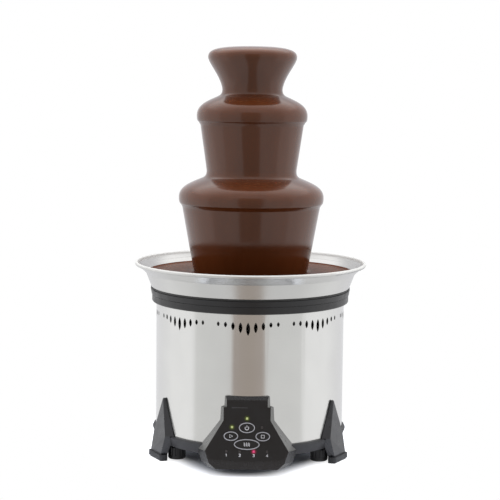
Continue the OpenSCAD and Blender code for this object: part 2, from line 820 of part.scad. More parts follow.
module hub_nut() {
    color("#b5a468") difference() {
        translate([0, 0, bowl_under - nut_h]) cylinder(r = hub_neck_r + 5, h = nut_h, $fn = 6);
        plug(hub_neck_r + press_gap, bowl_under - nut_h - 1, bowl_under + 1);
    }
}

module shaft_bush() {
    color("#b08d4a")
        pipe(shaft_bore, hub_bore - press_gap, bowl_under - hub_tail + bush_inset, hub_top - seal_h);
}

module shaft_seal() {
    color("#333333") pipe(shaft_bore, hub_bore - press_gap, hub_top - seal_h, hub_top - seal_inset);
}

// Gear frame

module hanger_posts() {
    color("#a8a8a6") for (p = post_at) translate(p) plug(post_r, plate_top_z + plate_t, bowl_under);
}

module plate_outline() {
    union() {
        circle(plate_r);
        translate([0, gear_offset]) circle(plate_r);
        translate([-plate_r, 0]) square([2 * plate_r, gear_offset]);
    }
}

module gear_plate_top() {
    color("#8f9296") translate([0, 0, plate_top_z]) difference() {
        linear_extrude(plate_t) plate_outline();
        translate([0, 0, -1]) cylinder(r = shaft_bore, h = plate_t + 2);
        translate([0, gear_offset, -1]) cylinder(r = idler_r + press_gap, h = plate_t + 2);
    }
}

module gear_plate_bottom() {
    color("#8f9296") translate([0, 0, plate_low_z]) difference() {
        linear_extrude(plate_t) plate_outline();
        translate([0, 0, -1]) cylinder(r = gear_m * (pinion_teeth / 2 + 1) + 1, h = plate_t + 2);
        translate([0, gear_offset, -1]) cylinder(r = idler_r + press_gap, h = plate_t + 2);
    }
}

module gear_pillars() {
    color("#a8a8a6") for (p = pillar_at) translate(p) plug(pillar_r, gear_floor, plate_top_z);
}

module idler_pin() {
    color("#c0c0be") translate([0, gear_offset]) plug(idler_r, plate_low_z, plate_top_z + plate_t);
}

module compound_gear() {
    hub = gear_m * second_teeth / 2 - 3;
    color("#e6dfcc") translate([0, gear_offset]) difference() {
        union() {
            translate([0, 0, wheel_z]) rotate([0, 0, 270 + 180 / wheel_teeth])
                linear_extrude(wheel_w) polygon(gear_outline(wheel_teeth));
            translate([0, 0, wheel_z + wheel_w]) rotate([0, 0, 270 + 180 / second_teeth])
                linear_extrude(second_top - wheel_z - wheel_w) polygon(gear_outline(second_teeth));
            plug(hub, gear_floor + free_gap, plate_top_z - free_gap);
        }
        plug(idler_r + run_fit, gear_floor, plate_top_z);
    }
}

module output_gear() {
    color("#e6dfcc") difference() {
        union() {
            translate([0, 0, output_z]) rotate([0, 0, 90]) linear_extrude(output_w)
                polygon(gear_outline(output_teeth));
            plug(shaft_r + 4, output_z + output_w, plate_top_z - free_gap);
        }
        plug(shaft_r + press_gap, output_z - 1, plate_top_z);
    }
}

module output_shaft() {
    color("#c4c6c6") difference() {
        plug(shaft_r, output_foot, shaft_top);
        translate([0, 0, drive_pin_z]) rotate([0, 90, 0])
            cylinder(r = drive_pin_r + press_gap, h = 4 * shaft_r, center = true);
    }
}

module drive_pin() {
    color("#b8b8b6") translate([0, 0, drive_pin_z]) rotate([0, 90, 0])
        cylinder(r = drive_pin_r, h = 2 * drive_pin_half, center = true);
}

// The screw: a flight wound round a core, on a socket that drops over the shaft and its cross pin
module auger() {
    flight_len = flight_top - flight_z;
    turns = flight_len / flight_pitch;
    flight_section = concat([[0, 0]], arc([0, 0], flight_r, -flight_arc / 2, flight_arc / 2, 5));
    color("#e9e6df") union() {
        difference() {
            plug(socket_r, socket_z, flight_z);
            plug(shaft_r + slip_fit, socket_z - 1, shaft_top + free_gap);
            translate([0, 0, socket_z - 1])
                linear_extrude(drive_pin_z - socket_z + 1 + drive_pin_r + slip_fit)
                square([2 * drive_pin_half + 1, 2 * (drive_pin_r + slip_fit)], center = true);
        }
        translate([0, 0, flight_z])
            linear_extrude(flight_len, twist = -360 * turns, slices = ceil(turns * 18), $fn = 14) union() {
                circle(core_r, $fn = 12);
                polygon(flight_section);
            }
    }
}

// Motor

module motor_can() {
    color("#86898d") difference() {
        plug(motor_r, can_foot, plate_low_z);
        plug(motor_r - can_t, can_foot - 1, plate_low_z - can_end_t);
        plug(motor_shaft_r + run_fit, can_foot, plate_low_z + 1);
    }
}

module motor_endcap() {
    color("#5d6064") difference() {
        plug(motor_r, can_foot - endcap_t, can_foot);
        plug(motor_shaft_r + run_fit, can_foot - endcap_t - 1, can_foot + 1);
        for (a = [0 : 60 : 300]) around(a, motor_r * 0.6) plug(4, can_foot - endcap_t - 1, can_foot + 1);
    }
}

module motor_magnets() {
    out = motor_r - can_t - press_gap;
    color("#4a4a4c")
        pipe(out - magnet_t, out, can_foot + magnet_margin, plate_low_z - can_end_t - magnet_margin);
}

module rotor_shaft() {
    color("#c4c6c6") union() {
        plug(motor_shaft_r, fan_z - 1, pinion_z + 1);
        translate([0, 0, pinion_z]) rotate([0, 0, 90]) linear_extrude(pinion_w)
            polygon(gear_outline(pinion_teeth));
    }
}

module rotor_core() {
    out = motor_r - can_t - press_gap - magnet_t - core_air;
    color("#7a5a3a")
        pipe(motor_shaft_r + press_gap, out, can_foot + core_margin, plate_low_z - can_end_t - core_margin);
}

module cooling_fan() {
    hub = motor_shaft_r + 4;
    blade_t = 1.4;
    blade_tilt = 35;
    blade_w = fan_w / cos(blade_tilt) - 2 * blade_t;
    color("#3c3c40") difference() {
        union() {
            plug(hub, fan_z, fan_z + fan_w);
            for (i = [0 : fan_blades - 1]) rotate([0, 0, 360 * i / fan_blades])
                translate([hub - 1.5, 0, fan_z + fan_w / 2]) rotate([blade_tilt, 0, 0])
                    translate([0, -blade_t / 2, -blade_w / 2]) cube([fan_r - hub + 1.5, blade_t, blade_w]);
        }
        plug(motor_shaft_r + press_gap, fan_z - 1, fan_z + fan_w + 1);
    }
}

// Tower

module tower_tube() {
    arch_foot = tower_z + foot_flange_t + 2;
    color("#d0d2d3") difference() {
        union() {
            plug(tube_r, tower_z, tube_top);
            plug(flange_r, tower_z, tower_z + foot_flange_t);
            plug(tube_r + bead_w, bead_z - bead_t, bead_z);
        }
        plug(tube_r - tube_t, tower_z - 1, tube_top + 1);
        for (i = [0 : inlet_count - 1]) around(360 * (i + 0.5) / inlet_count, 0, arch_foot) {
            translate([-inlet_w / 2, -tube_r - 2, 0]) cube([inlet_w, 2 * tube_t + 4, inlet_h]);
            translate([0, -tube_r + 2 * tube_t + 2, inlet_h]) rotate([90, 0, 0])
                cylinder(r = inlet_w / 2, h = 2 * tube_t + 4);
        }
        for (a = [0, 120, 240]) around(a + 60, pin_ring_r)
            plug(pin_r + free_gap, tower_z - 1, tower_z + foot_flange_t + 1);
    }
}

// Umbrella tier on its sleeve: top is the chocolate's surface, moved in under the film
module tier(top, sleeve_foot, sleeve_top) {
    skin = shifted(top, [-film_out, -film_out]);
    edge = skin[len(skin) - 1];
    back = shifted(skin, [-tier_t, -tier_t]);
    lip = tier_t + tier_lip;
    turned(concat(
        [[sleeve_bore, sleeve_foot], [sleeve_r, sleeve_foot], [sleeve_r, back[0][1]]],
        back,
        [edge - [tier_t, lip], edge - [0, lip]],
        backwards(skin),
        [[sleeve_r, skin[0][1]], [sleeve_r, sleeve_top], [sleeve_bore, sleeve_top]]));
}

module lower_tier() {
    color("#d0d2d3") tier(lower_top, bead_z, joint_z);
}

module upper_tier() {
    color("#d0d2d3") tier(upper_top, joint_z, crown_seat_z - free_gap);
}

module crown() {
    skin = shifted(crown_side, [-film_out, 0]);
    rim = [crown_bulge_r - film_out, crown_rim_z];
    bore_top = tube_top + free_gap;
    color("#d0d2d3") turned(concat(
        [[sleeve_bore, crown_seat_z], [skin[len(skin) - 1][0], crown_seat_z]],
        backwards(skin),
        [rim, rim - [tier_t, 0], [tube_r - tube_t, bore_top], [sleeve_bore, bore_top]]));
}

// Chocolate

module chocolate_crown() {
    inside = shifted(crown_side, [-film_t, 0]);
    color("#4a2c20") turned(concat(
        [[0, crown_rim_z + free_gap], [crown_bulge_r - film_t, crown_rim_z + free_gap]],
        inside,
        backwards(crown_side),
        backwards(dome_top)));
}

// Film over a tier and the curtain that falls from its edge
module flow(top, cuff, cuff_z, bulge_r, bulge_z, foot_r, foot_z) {
    inside = shifted(top, [-film_t, -film_t]);
    edge = inside[len(inside) - 1];
    start = notch(bulge_r, bulge_z);
    turned(concat(
        [[cuff[0], cuff_z], [cuff[1], cuff_z]],
        top,
        under_bulge(bulge_r, bulge_z),
        [[foot_r, foot_z], [foot_r - curtain_t, foot_z], start - [curtain_t, 0],
            edge - [0, tier_t + tier_lip + 2 * free_gap]],
        backwards(inside),
        [[cuff[0], inside[0][1]]]));
}

module chocolate_upper() {
    color("#4a2c20") flow(upper_top, [crown_foot_r - film_t, crown_foot_r], upper_cuff_z,
        upper_bulge_r, upper_bulge_z, upper_foot_r, lower_cuff_z + free_gap);
}

module chocolate_lower() {
    color("#4a2c20") flow(lower_top, [upper_foot_r - cuff_t, upper_foot_r], lower_cuff_z,
        lower_bulge_r, lower_bulge_z, lower_foot_r, pool_z + free_gap);
}

module chocolate_pool() {
    inside = beside(wall_path, bowl_t + free_gap);
    below = [for (q = inside) if (q[1] < pool_z) q];
    top_r = brim_foot[0] - (brim_foot[1] - pool_z) * tan(wall_lean) - (bowl_t + free_gap) / cos(wall_lean);
    well_r = flange_r + 2 * free_gap;
    color("#4a2c20") turned(concat(
        [[well_r, floor_z + free_gap]], below, [[top_r, pool_z], [well_r, pool_z]]));
}

// Control pod

// Half outline of the face, from the foot up, and its mirror image
function two_sided(p) = concat(p, backwards([for (q = p) [-q[0], q[1]]]));

apron_points = [[foot_half, 0], [chin_half, chin_s], [apron_half, apron_s], [shoulder_half, neck_s]];

module slab(points, depth) {
    translate([0, 0, -depth]) linear_extrude(0.01) polygon(two_sided(points));
}

// The apron, the neck and the stepped top, each leaning outwards behind the face
module pod_block(points, rise) {
    top = points[len(points) - 1][1];
    hull() {
        slab(points, 0.01);
        for (depth = [top_run, pod_depth]) slab([for (q = points)
            [q[0] + depth * side_draft, q[1] + (q[1] == top ? rise : 0)]], depth);
    }
}

module pod_hollow(points) {
    hull() {
        slab(points, pod_wall);
        slab([for (q = points) [q[0] + (pod_depth - pod_wall) * side_draft, q[1]]], pod_depth + 2);
    }
}

module pod_shell() {
    difference() {
        on_face() union() {
            pod_block(apron_points, 0);
            pod_block([[shoulder_half, neck_s - 2], [shoulder_half, step_s]], 0);
            pod_block([[neck_half, step_s - 2], [neck_half, pod_top_s]], top_rise);
        }
        on_face() pod_hollow([[foot_half - 2, pod_wall], [chin_half - pod_wall, chin_s + 1],
            [apron_half - pod_wall - 1, apron_s], [shoulder_half - pod_wall, neck_s - 1]]);
        on_face() pod_hollow([
            [shoulder_half - pod_wall, neck_s - 3], [shoulder_half - pod_wall, step_s - pod_wall]]);
        on_face(pod_wall + 1) linear_extrude(pod_wall + 2) {
            for (k = key_list) translate(k[0])
                polygon(ellipse(k[1] + key_flange_w + key_side, k[2] + key_flange_w + key_side));
            for (p = light_list) translate(p) square(light_w + 2 * key_side, center = true);
        }
        plug(shell_r + slip_fit, band_top, 2 * band_top + pod_top_s);
        band_room(slip_fit);
        plug(band_r - band_taper + slip_fit, 0, band_top);
    }
}

module control_pod() {
    color("#2a2a2c") union() {
        pod_shell();
        on_face(board_depth) for (p = board_post_at, x = [-1, 1]) translate([x * p[0], p[1]])
            cylinder(r = panel_post_r, h = board_depth - pod_wall + 0.1);
    }
}

key_list = [
    [power_at, power_a, power_b], [start_at, side_a, side_b],
    [stop_at, side_a, side_b], [heat_at, heat_a, heat_b]];
light_list = concat(
    [power_light_at, start_light_at, stop_light_at], [for (x = level_row_x) [x, level_row_s]]);

module panel_overlay() {
    m = overlay_margin;
    ends = chin_half - m;
    low_edge = [for (i = [-8 : 8]) let (t = i / 8) [ends * t, overlay_foot_s + overlay_sag * t * t]];
    right = [
        [apron_half - m * 1.2, apron_s], [shoulder_half - m, neck_s + m * 0.6],
        [shoulder_half - m, step_s - m], [neck_half - m, step_s + m], [neck_half - m, pod_top_s - m]];
    color("#17171a") on_face() linear_extrude(overlay_t) difference() {
        polygon(concat(low_edge, right, backwards([for (q = right) [-q[0], q[1]]])));
        for (k = key_list) translate(k[0]) polygon(ellipse(k[1] + key_side, k[2] + key_side));
        for (p = light_list) translate(p) square(light_w + key_side, center = true);
    }
}

// A key: cap through the front sheet, flange behind it and a stem over the switch
module key(k) {
    stem_foot = board_depth - switch_h - 2 * free_gap - key_travel;
    color("#1c1c1f") on_face() translate(k[0]) {
        translate([0, 0, -free_gap - key_flange_t]) linear_extrude(key_flange_t)
            polygon(ellipse(k[1] + key_flange_w, k[2] + key_flange_w));
        translate([0, 0, -free_gap]) linear_extrude(free_gap + overlay_t + key_proud)
            polygon(ellipse(k[1], k[2]));
        translate([0, 0, -stem_foot]) cylinder(r = key_stem_r, h = stem_foot - free_gap);
    }
}

module key_power() {
    key(key_list[0]);
}

module key_start() {
    key(key_list[1]);
}

module key_stop() {
    key(key_list[2]);
}

module key_heat() {
    key(key_list[3]);
}

module control_board() {
    color("#2f6b3c") on_face(board_depth + board_t) linear_extrude(board_t) polygon(two_sided([
        [board_side, level_row_s - board_edge], [board_side, start_at[1] + board_edge],
        [board_neck, power_at[1] + board_edge], [board_neck, power_light_at[1] + board_edge]]));
}

module key_switches() {
    color("#d9d9d6") on_face() for (k = key_list) translate(concat(k[0], [-board_depth])) {
        linear_extrude(switch_h) square(switch_w, center = true);
        cylinder(r = plunger_r, h = switch_h + free_gap);
    }
}

// A square light guide from the board to the front sheet
module light(p) {
    on_face(board_depth) translate(p) linear_extrude(board_depth + overlay_t) square(light_w, center = true);
}

module lights_green() {
    color("#8fbf4a") {
        light(power_light_at);
        light(start_light_at);
    }
}

module light_red() {
    color("#e83a6a") light([level_row_x[2], level_row_s]);
}

module lights_off() {
    color("#3c3a3c") {
        light(stop_light_at);
        for (i = [0, 1, 3]) light([level_row_x[i], level_row_s]);
    }
}

// Legs and feet

knob_room = 3.5;
leg_in = level_r + knob_r + knob_room;

// Outline of a leg from above: inner side, ridge towards the front, outer corner towards the back
function leg_section(front, ridge, back, reach, turn) = [
    [front, -leg_in], [ridge, -reach], [-back, turn - reach], [-back, -leg_in]];
leg_top_section = leg_section(leg_front, leg_ridge, leg_back, leg_reach, leg_turn);

// A closed outline with each corner turned into an arc of short steps
function unit(v) = v / norm(v);
function arc_at(corner, before, after, r, steps) =
    let (half = acos(before * after) / 2, centre = corner + unit(before + after) * r / sin(half),
        from = corner + before * r / tan(half) - centre, to = corner + after * r / tan(half) - centre)
    [for (i = [0 : steps]) centre + r * unit(from * (1 - i / steps) + to * i / steps)];
function rounded(p, r, steps = 6) = [for (i = [0 : len(p) - 1])
    each arc_at(p[i], unit(p[(i + len(p) - 1) % len(p)] - p[i]), unit(p[(i + 1) % len(p)] - p[i]), r, steps)];

// A leg's foot widened by a rim
module foot_outline(rim) {
    polygon(rounded(leg_section(leg_foot_front + rim, leg_foot_ridge + rim, leg_foot_back + rim,
        leg_foot_reach + rim, leg_foot_turn), leg_foot_round + rim));
}

// A leg at an angle round the drum, its ridge towards the front on either hand
module leg_place(angle) {
    rotate([0, 0, angle]) mirror([angle > 0 ? 1 : 0, 0, 0]) children();
}

module leg(angle) {
    tip_r = 2;
    sheet = 0.01;
    color("#6b6c6e") leg_place(angle) difference() {
        union() {
            hull() {
                translate([0, 0, band_top]) linear_extrude(sheet) polygon(leg_top_section);
                translate([0, -shell_r - tip_r + shell_t, leg_top - tip_r]) sphere(tip_r, $fn = 24);
            }
            hull() {
                translate([0, 0, band_top]) linear_extrude(sheet) polygon(leg_top_section);
                translate([0, 0, sole_h]) linear_extrude(sheet) foot_outline(0);
            }
        }
        plug(shell_r + slip_fit, band_top, leg_top + 1);
        band_room(slip_fit);
    }
}

module leg_left() {
    leg(leg_at[0]);
}

module leg_right() {
    leg(leg_at[1]);
}

module leg_rear() {
    leg(leg_at[2]);
}

module leg_soles() {
    tread = 1.6;
    tread_proud = 0.6;
    color("#26272a") for (a = leg_at) leg_place(a) {
        translate([0, 0, tread]) linear_extrude(sole_h - tread) foot_outline(sole_proud);
        linear_extrude(tread) foot_outline(tread_proud);
    }
}

module level_foot(angle) {
    flutes = 12;
    flute_r = 1.4;
    stud_top = tray_top + boss_h - 1;
    chamfer = 1;
    color("#1d1d1f") around(angle, level_r) union() {
        difference() {
            rotate_extrude() polygon([
                [0, knob_gap], [knob_r - chamfer, knob_gap], [knob_r, knob_gap + chamfer],
                [knob_r, knob_gap + knob_h - chamfer], [knob_r - chamfer, knob_gap + knob_h],
                [0, knob_gap + knob_h]]);
            for (i = [0 : flutes - 1]) rotate([0, 0, 360 * i / flutes]) translate([knob_r + 0.5, 0, 0])
                plug(flute_r, knob_gap + 4, knob_gap + knob_h + 1);
        }
        plug(stud_r, knob_gap + 1, stud_top);
    }
}

module level_foot_left() {
    level_foot(leg_at[0]);
}

module level_foot_right() {
    level_foot(leg_at[1]);
}

module level_foot_rear() {
    level_foot(leg_at[2]);
}

base_tray();
outer_shell();
top_ring();
collar();
bowl_seal();
basin();
heater_plate();
heater_element();
thermostat();
shaft_hub();
hub_nut();
shaft_bush();
shaft_seal();
hanger_posts();
gear_plate_top();
gear_plate_bottom();
gear_pillars();
idler_pin();
compound_gear();
output_gear();
output_shaft();
drive_pin();
auger();
motor_can();
motor_endcap();
motor_magnets();
rotor_shaft();
rotor_core();
cooling_fan();
tower_tube();
lower_tier();
upper_tier();
crown();
locating_pins();
chocolate_crown();
chocolate_upper();
chocolate_lower();
chocolate_pool();
control_pod();
panel_overlay();
key_power();
key_start();
key_stop();
key_heat();
control_board();
key_switches();
lights_green();
light_red();
lights_off();
leg_left();
leg_right();
leg_rear();
leg_soles();
level_foot_left();
level_foot_right();
level_foot_rear();
tie_rods();
power_board();
cord_gland();
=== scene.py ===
import math

import bpy
from mathutils import Matrix, Vector


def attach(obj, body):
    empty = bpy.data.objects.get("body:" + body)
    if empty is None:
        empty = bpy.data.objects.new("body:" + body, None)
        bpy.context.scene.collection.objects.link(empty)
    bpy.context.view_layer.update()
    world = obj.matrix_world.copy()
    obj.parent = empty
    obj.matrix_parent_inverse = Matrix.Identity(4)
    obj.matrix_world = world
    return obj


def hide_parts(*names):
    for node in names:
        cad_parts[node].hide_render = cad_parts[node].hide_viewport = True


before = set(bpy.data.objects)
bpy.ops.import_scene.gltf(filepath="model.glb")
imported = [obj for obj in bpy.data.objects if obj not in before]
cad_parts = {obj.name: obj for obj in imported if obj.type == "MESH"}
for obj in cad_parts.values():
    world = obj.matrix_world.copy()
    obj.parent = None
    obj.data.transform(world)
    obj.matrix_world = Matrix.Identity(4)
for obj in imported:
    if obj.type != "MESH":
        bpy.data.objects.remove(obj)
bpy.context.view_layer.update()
scene = bpy.context.scene
scene.view_settings.view_transform = "Standard"

# Camera
# A long lens on a tripod, a little above the bowl and a touch to the right of the pod.
# It dips towards the drum, and the picture leans by about half a degree.
camera_reach = 1.620
camera_height = 0.4073
camera_side = math.radians(1.0)
camera_aim = 0.00048
camera_dip = math.radians(6.29)
camera_lean = math.radians(0.6)
camera_data = bpy.data.cameras.new("camera")
camera_data.lens = 104.4
camera_data.sensor_width = 36.0
camera = bpy.data.objects.new("camera", camera_data)
scene.collection.objects.link(camera)
camera_turn = (Matrix.Rotation(camera_side + camera_aim, 4, "Z")
               @ Matrix.Rotation(math.radians(90) - camera_dip, 4, "X")
               @ Matrix.Rotation(camera_lean, 4, "Z"))
camera_place = Vector((camera_reach * math.sin(camera_side),
                       -camera_reach * math.cos(camera_side),
                       camera_height))
camera.matrix_world = Matrix.Translation(camera_place) @ camera_turn
scene.camera = camera


# Studio
# A white sweep with broad soft light from both sides and above. The side towards the camera is
# open to a dim room, which polished steel and wet chocolate show as a darker stripe.
def feed(tree, value, slot):
    """Puts a plain value on a socket, or links another socket to it."""
    if isinstance(value, bpy.types.NodeSocket):
        tree.links.new(value, slot)
    else:
        slot.default_value = value


def reckon(tree, operation, *values):
    """One step of arithmetic on values that are plain or linked."""
    step = tree.nodes.new("ShaderNodeMath")
    step.operation = operation
    for value, slot in zip(values, step.inputs):
        feed(tree, value, slot)
    return step.outputs[0]


def slide(tree, value, start, end, low=0.0, high=1.0, ease="LINEAR"):
    """Runs from low to high while a value runs from start to end."""
    scale = tree.nodes.new("ShaderNodeMapRange")
    scale.interpolation_type = ease
    tree.links.new(value, scale.inputs["Value"])
    scale.inputs["From Min"].default_value = start
    scale.inputs["From Max"].default_value = end
    scale.inputs["To Min"].default_value = low
    scale.inputs["To Max"].default_value = high
    return scale.outputs["Result"]


def blend(tree, amount, one, other):
    """A colour between two tones, each plain or linked."""
    mix = tree.nodes.new("ShaderNodeMix")
    mix.data_type = "RGBA"
    feed(tree, amount, mix.inputs["Factor"])
    for name, tone in (("A", one), ("B", other)):
        linked = isinstance(tone, bpy.types.NodeSocket)
        feed(tree, tone if linked else (*tone, 1), mix.inputs[name])
    return mix.outputs["Result"]


world = bpy.data.worlds.new("studio")
scene.world = world
world.use_nodes = True
air = world.node_tree
air.nodes.clear()
ways = air.nodes.new("ShaderNodeTexCoord")
way = air.nodes.new("ShaderNodeSeparateXYZ")
air.links.new(ways.outputs["Generated"], way.inputs[0])

# The walls go by their bearing: 0 is the side of the camera, 1 is straight behind the object.
stripe_edge, screen_edge = 0.105, 0.118
wall_tones = (
    (stripe_edge, (0.50, 0.44, 0.40)), (screen_edge, (0.86, 0.86, 0.85)),
    (0.380, (0.88, 0.88, 0.87)), (0.396, (1.12, 1.12, 1.12)),
    (0.60, (1.12, 1.12, 1.12)), (0.73, (1.00, 1.00, 1.01)), (1.0, (0.78, 0.78, 0.81)))
towards_camera = reckon(air, "MULTIPLY", way.outputs["Y"], -1)
bearing = reckon(air, "ARCTAN2", way.outputs["X"], towards_camera)
share = reckon(air, "DIVIDE", reckon(air, "ABSOLUTE", bearing), math.pi)
walls = air.nodes.new("ShaderNodeValToRGB")
stops = walls.color_ramp.elements
stops.remove(stops[1])
stops[0].position = 0.0
stops[0].color = (0.48, 0.42, 0.37, 1)
for place, tone in wall_tones:
    stops.new(place).color = (*tone, 1)
air.links.new(share, walls.inputs[0])

# Diffusers hang overhead and are brighter at the back. Below, the table is lit beside the stripe.
diffuser_front, diffuser_back = (0.95, 0.95, 0.95), (1.6, 1.6, 1.6)
diffuser_start, diffuser_full = 0.46, 0.64
back_start, back_full = -0.5, 0.4
table_tone = (0.86, 0.86, 0.86)
table_start, table_full = -0.45, -0.75
overhead = slide(air, way.outputs["Z"], diffuser_start, diffuser_full, ease="SMOOTHSTEP")
behind = slide(air, way.outputs["Y"], back_start, back_full, ease="SMOOTHSTEP")
below = slide(air, way.outputs["Z"], table_start, table_full, ease="SMOOTHSTEP")
beside = slide(air, share, stripe_edge, screen_edge)
ceiling = blend(air, overhead, walls.outputs["Color"],
                blend(air, behind, diffuser_front, diffuser_back))
all_round = blend(air, reckon(air, "MULTIPLY", below, beside), ceiling, table_tone)

ray = air.nodes.new("ShaderNodeLightPath")
room_level = 0.62
room = air.nodes.new("ShaderNodeBackground")
air.links.new(all_round, room.inputs["Color"])
air.links.new(slide(air, ray.outputs["Is Glossy Ray"], 0, 1, room_level, 1.0),
              room.inputs["Strength"])
backdrop = air.nodes.new("ShaderNodeBackground")
backdrop.inputs["Color"].default_value = (1, 1, 1, 1)
seen = reckon(air, "MAXIMUM", ray.outputs["Is Camera Ray"], ray.outputs["Is Transmission Ray"])
whole = air.nodes.new("ShaderNodeMixShader")
air.links.new(seen, whole.inputs[0])
air.links.new(room.outputs[0], whole.inputs[1])
air.links.new(backdrop.outputs[0], whole.inputs[2])
air_out = air.nodes.new("ShaderNodeOutputWorld")
air.links.new(whole.outputs[0], air_out.inputs["Surface"])


def softbox(name, place, width, height, watts):
    """A lamp behind cloth, aimed at the drum. It lights without showing as a shape in steel."""
    aim = Vector((0, 0, 0.2))
    data = bpy.data.lights.new(name, "AREA")
    data.shape = "RECTANGLE"
    data.size = width
    data.size_y = height
    data.energy = watts
    lamp = bpy.data.objects.new(name, data)
    lamp.location = place
    lamp.rotation_euler = (aim - Vector(place)).to_track_quat("-Z", "Y").to_euler()
    lamp.visible_glossy = False
    scene.collection.objects.link(lamp)


softbox("softbox_left", (-1.5, -0.3, 0.6), 1.2, 1.4, watts=13)
softbox("softbox_right", (1.5, -0.3, 0.6), 1.2, 1.4, watts=12)
softbox("softbox_top", (0, 0.1, 1.7), 1.6, 1.2, watts=32)

floor_paint = bpy.data.materials.new("white_sweep")
floor_paint.use_nodes = True
sweep = floor_paint.node_tree
sweep.nodes.clear()
sweep_where = sweep.nodes.new("ShaderNodeTexCoord")


def clear_of(middle, size, near, far):
    """How far a spot of the floor lies clear of a shaded oval, from none to all."""
    shaped = sweep.nodes.new("ShaderNodeMapping")
    shaped.vector_type = "TEXTURE"
    shaped.inputs["Location"].default_value = (*middle, 0)
    shaped.inputs["Scale"].default_value = (*size, 1)
    sweep.links.new(sweep_where.outputs["Object"], shaped.inputs["Vector"])
    away = sweep.nodes.new("ShaderNodeVectorMath")
    away.operation = "LENGTH"
    sweep.links.new(shaped.outputs["Vector"], away.inputs[0])
    return slide(sweep, away.outputs["Value"], near, far, ease="SMOOTHSTEP")


# Near the machine the glow is held back in two ovals, so the floor there shows the real shadow over
# a painted shade.
seen_glow, mirrored_glow = 0.9, 0.48
pod_shade = clear_of((-0.005, -0.060), (0.075, 0.0745), near=0.52, far=1.02)
foot_shade = clear_of((0, 0), (0.1, 0.1), near=0.75, far=1.05)
sweep_ray = sweep.nodes.new("ShaderNodeLightPath")
sweep_level = reckon(sweep, "MULTIPLY_ADD", sweep_ray.outputs["Is Camera Ray"],
                     reckon(sweep, "MULTIPLY", pod_shade, seen_glow),
                     reckon(sweep, "MULTIPLY", sweep_ray.outputs["Is Glossy Ray"], mirrored_glow))
sweep_glow = sweep.nodes.new("ShaderNodeEmission")
sweep_glow.inputs["Color"].default_value = (1, 1, 1, 1)
sweep.links.new(reckon(sweep, "MULTIPLY", foot_shade, sweep_level), sweep_glow.inputs["Strength"])
# The floor's own diffuse is a darker blue grey, a painted shadow tint that shows where the glow is
# held back.
sweep_shade_tint = sweep.nodes.new("ShaderNodeBsdfDiffuse")
sweep_shade_tint.inputs["Color"].default_value = (0.62, 0.65, 0.73, 1)
sweep_sum = sweep.nodes.new("ShaderNodeAddShader")
sweep.links.new(sweep_shade_tint.outputs[0], sweep_sum.inputs[0])
sweep.links.new(sweep_glow.outputs[0], sweep_sum.inputs[1])
sweep_out = sweep.nodes.new("ShaderNodeOutputMaterial")
sweep.links.new(sweep_sum.outputs[0], sweep_out.inputs["Surface"])


def floor_ring(name, inner, outer, steps=96):
    """A flat ring of the table, or a disc when it has no inner edge."""
    level = -0.0002
    angles = [2 * math.pi * i / steps for i in range(steps)]
    spots = [(outer * math.cos(a), outer * math.sin(a), level) for a in angles]
    if inner:
        spots += [(inner * math.cos(a), inner * math.sin(a), level) for a in angles]
        faces = [(i, (i + 1) % steps, steps + (i + 1) % steps, steps + i) for i in range(steps)]
    else:
        faces = [tuple(range(steps))]
    mesh = bpy.data.meshes.new(name)
    mesh.from_pydata(spots, [], faces)
    mesh.materials.append(floor_paint)
    piece = bpy.data.objects.new(name, mesh)
    scene.collection.objects.link(piece)
    return piece


# Only the inner disc shows in the steel.
floor_reach, floor_end = 0.135, 0.18
floor_ring("floor", 0, floor_reach)
floor_ring("floor_edge", floor_reach, floor_end).visible_glossy = False


# Base tray
# A black injection-moulded pan with a band round its edge. Bosses inside take the level screws,
# posts carry the supply board, and slots in its floor let cooling air in.
def skin_of(paint):
    """The shaded surface of a finish."""
    return next(n for n in paint.node_tree.nodes if n.type == "BSDF_PRINCIPLED")


def blank_finish(name):
    """A finish to fill in: its nodes, its surface, and the coordinates of the part in metres."""
    paint = bpy.data.materials.new(name)
    paint.use_nodes = True
    where = paint.node_tree.nodes.new("ShaderNodeTexCoord")
    return paint, paint.node_tree, skin_of(paint), where.outputs["Object"]


def speckle(tree, where, scale, detail=3.0, rough=0.55):
    """A noise field over the part."""
    field = tree.nodes.new("ShaderNodeTexNoise")
    field.inputs["Scale"].default_value = scale
    field.inputs["Detail"].default_value = detail
    field.inputs["Roughness"].default_value = rough
    tree.links.new(where, field.inputs["Vector"])
    return field.outputs["Fac"]


def between(tree, field, low=0.0, high=1.0):
    """Spreads the middle of a noise field over a range of values."""
    return slide(tree, field, 0.3, 0.7, low, high)


def raised(tree, height, depth, surface, strength=1.0):
    """Small relief, depth in metres."""
    bump = tree.nodes.new("ShaderNodeBump")
    bump.inputs["Strength"].default_value = strength
    bump.inputs["Distance"].default_value = depth
    tree.links.new(height, bump.inputs["Height"])
    tree.links.new(bump.outputs["Normal"], surface.inputs["Normal"])


def moulded(name, colour, rough=0.5, grain=0.00003, grain_scale=2600, mottle=0.10):
    """Moulded plastic: spark-eroded grain, faint flow mottling and hand-polished patches."""
    flow_scale, patch_scale, patch_spread = 38, 120, 0.07
    paint, tree, surface, where = blank_finish(name)
    dark = tuple(c * (1 - mottle) for c in colour)
    pale = tuple(min(1.0, c * (1 + mottle)) for c in colour)
    flow_lines = between(tree, speckle(tree, where, flow_scale))
    tree.links.new(blend(tree, flow_lines, dark, pale), surface.inputs["Base Color"])
    patches = speckle(tree, where, patch_scale, 4)
    tree.links.new(between(tree, patches, rough - patch_spread, rough + patch_spread),
                   surface.inputs["Roughness"])
    raised(tree, speckle(tree, where, grain_scale, 2), grain, surface)
    return paint


def dress(node, paint):
    """Puts one finish on a CAD node."""
    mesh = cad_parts[node].data
    mesh.materials.clear()
    mesh.materials.append(paint)


base_black = moulded("base_black", (0.010, 0.010, 0.013), rough=0.44)
dress("base_tray", base_black)


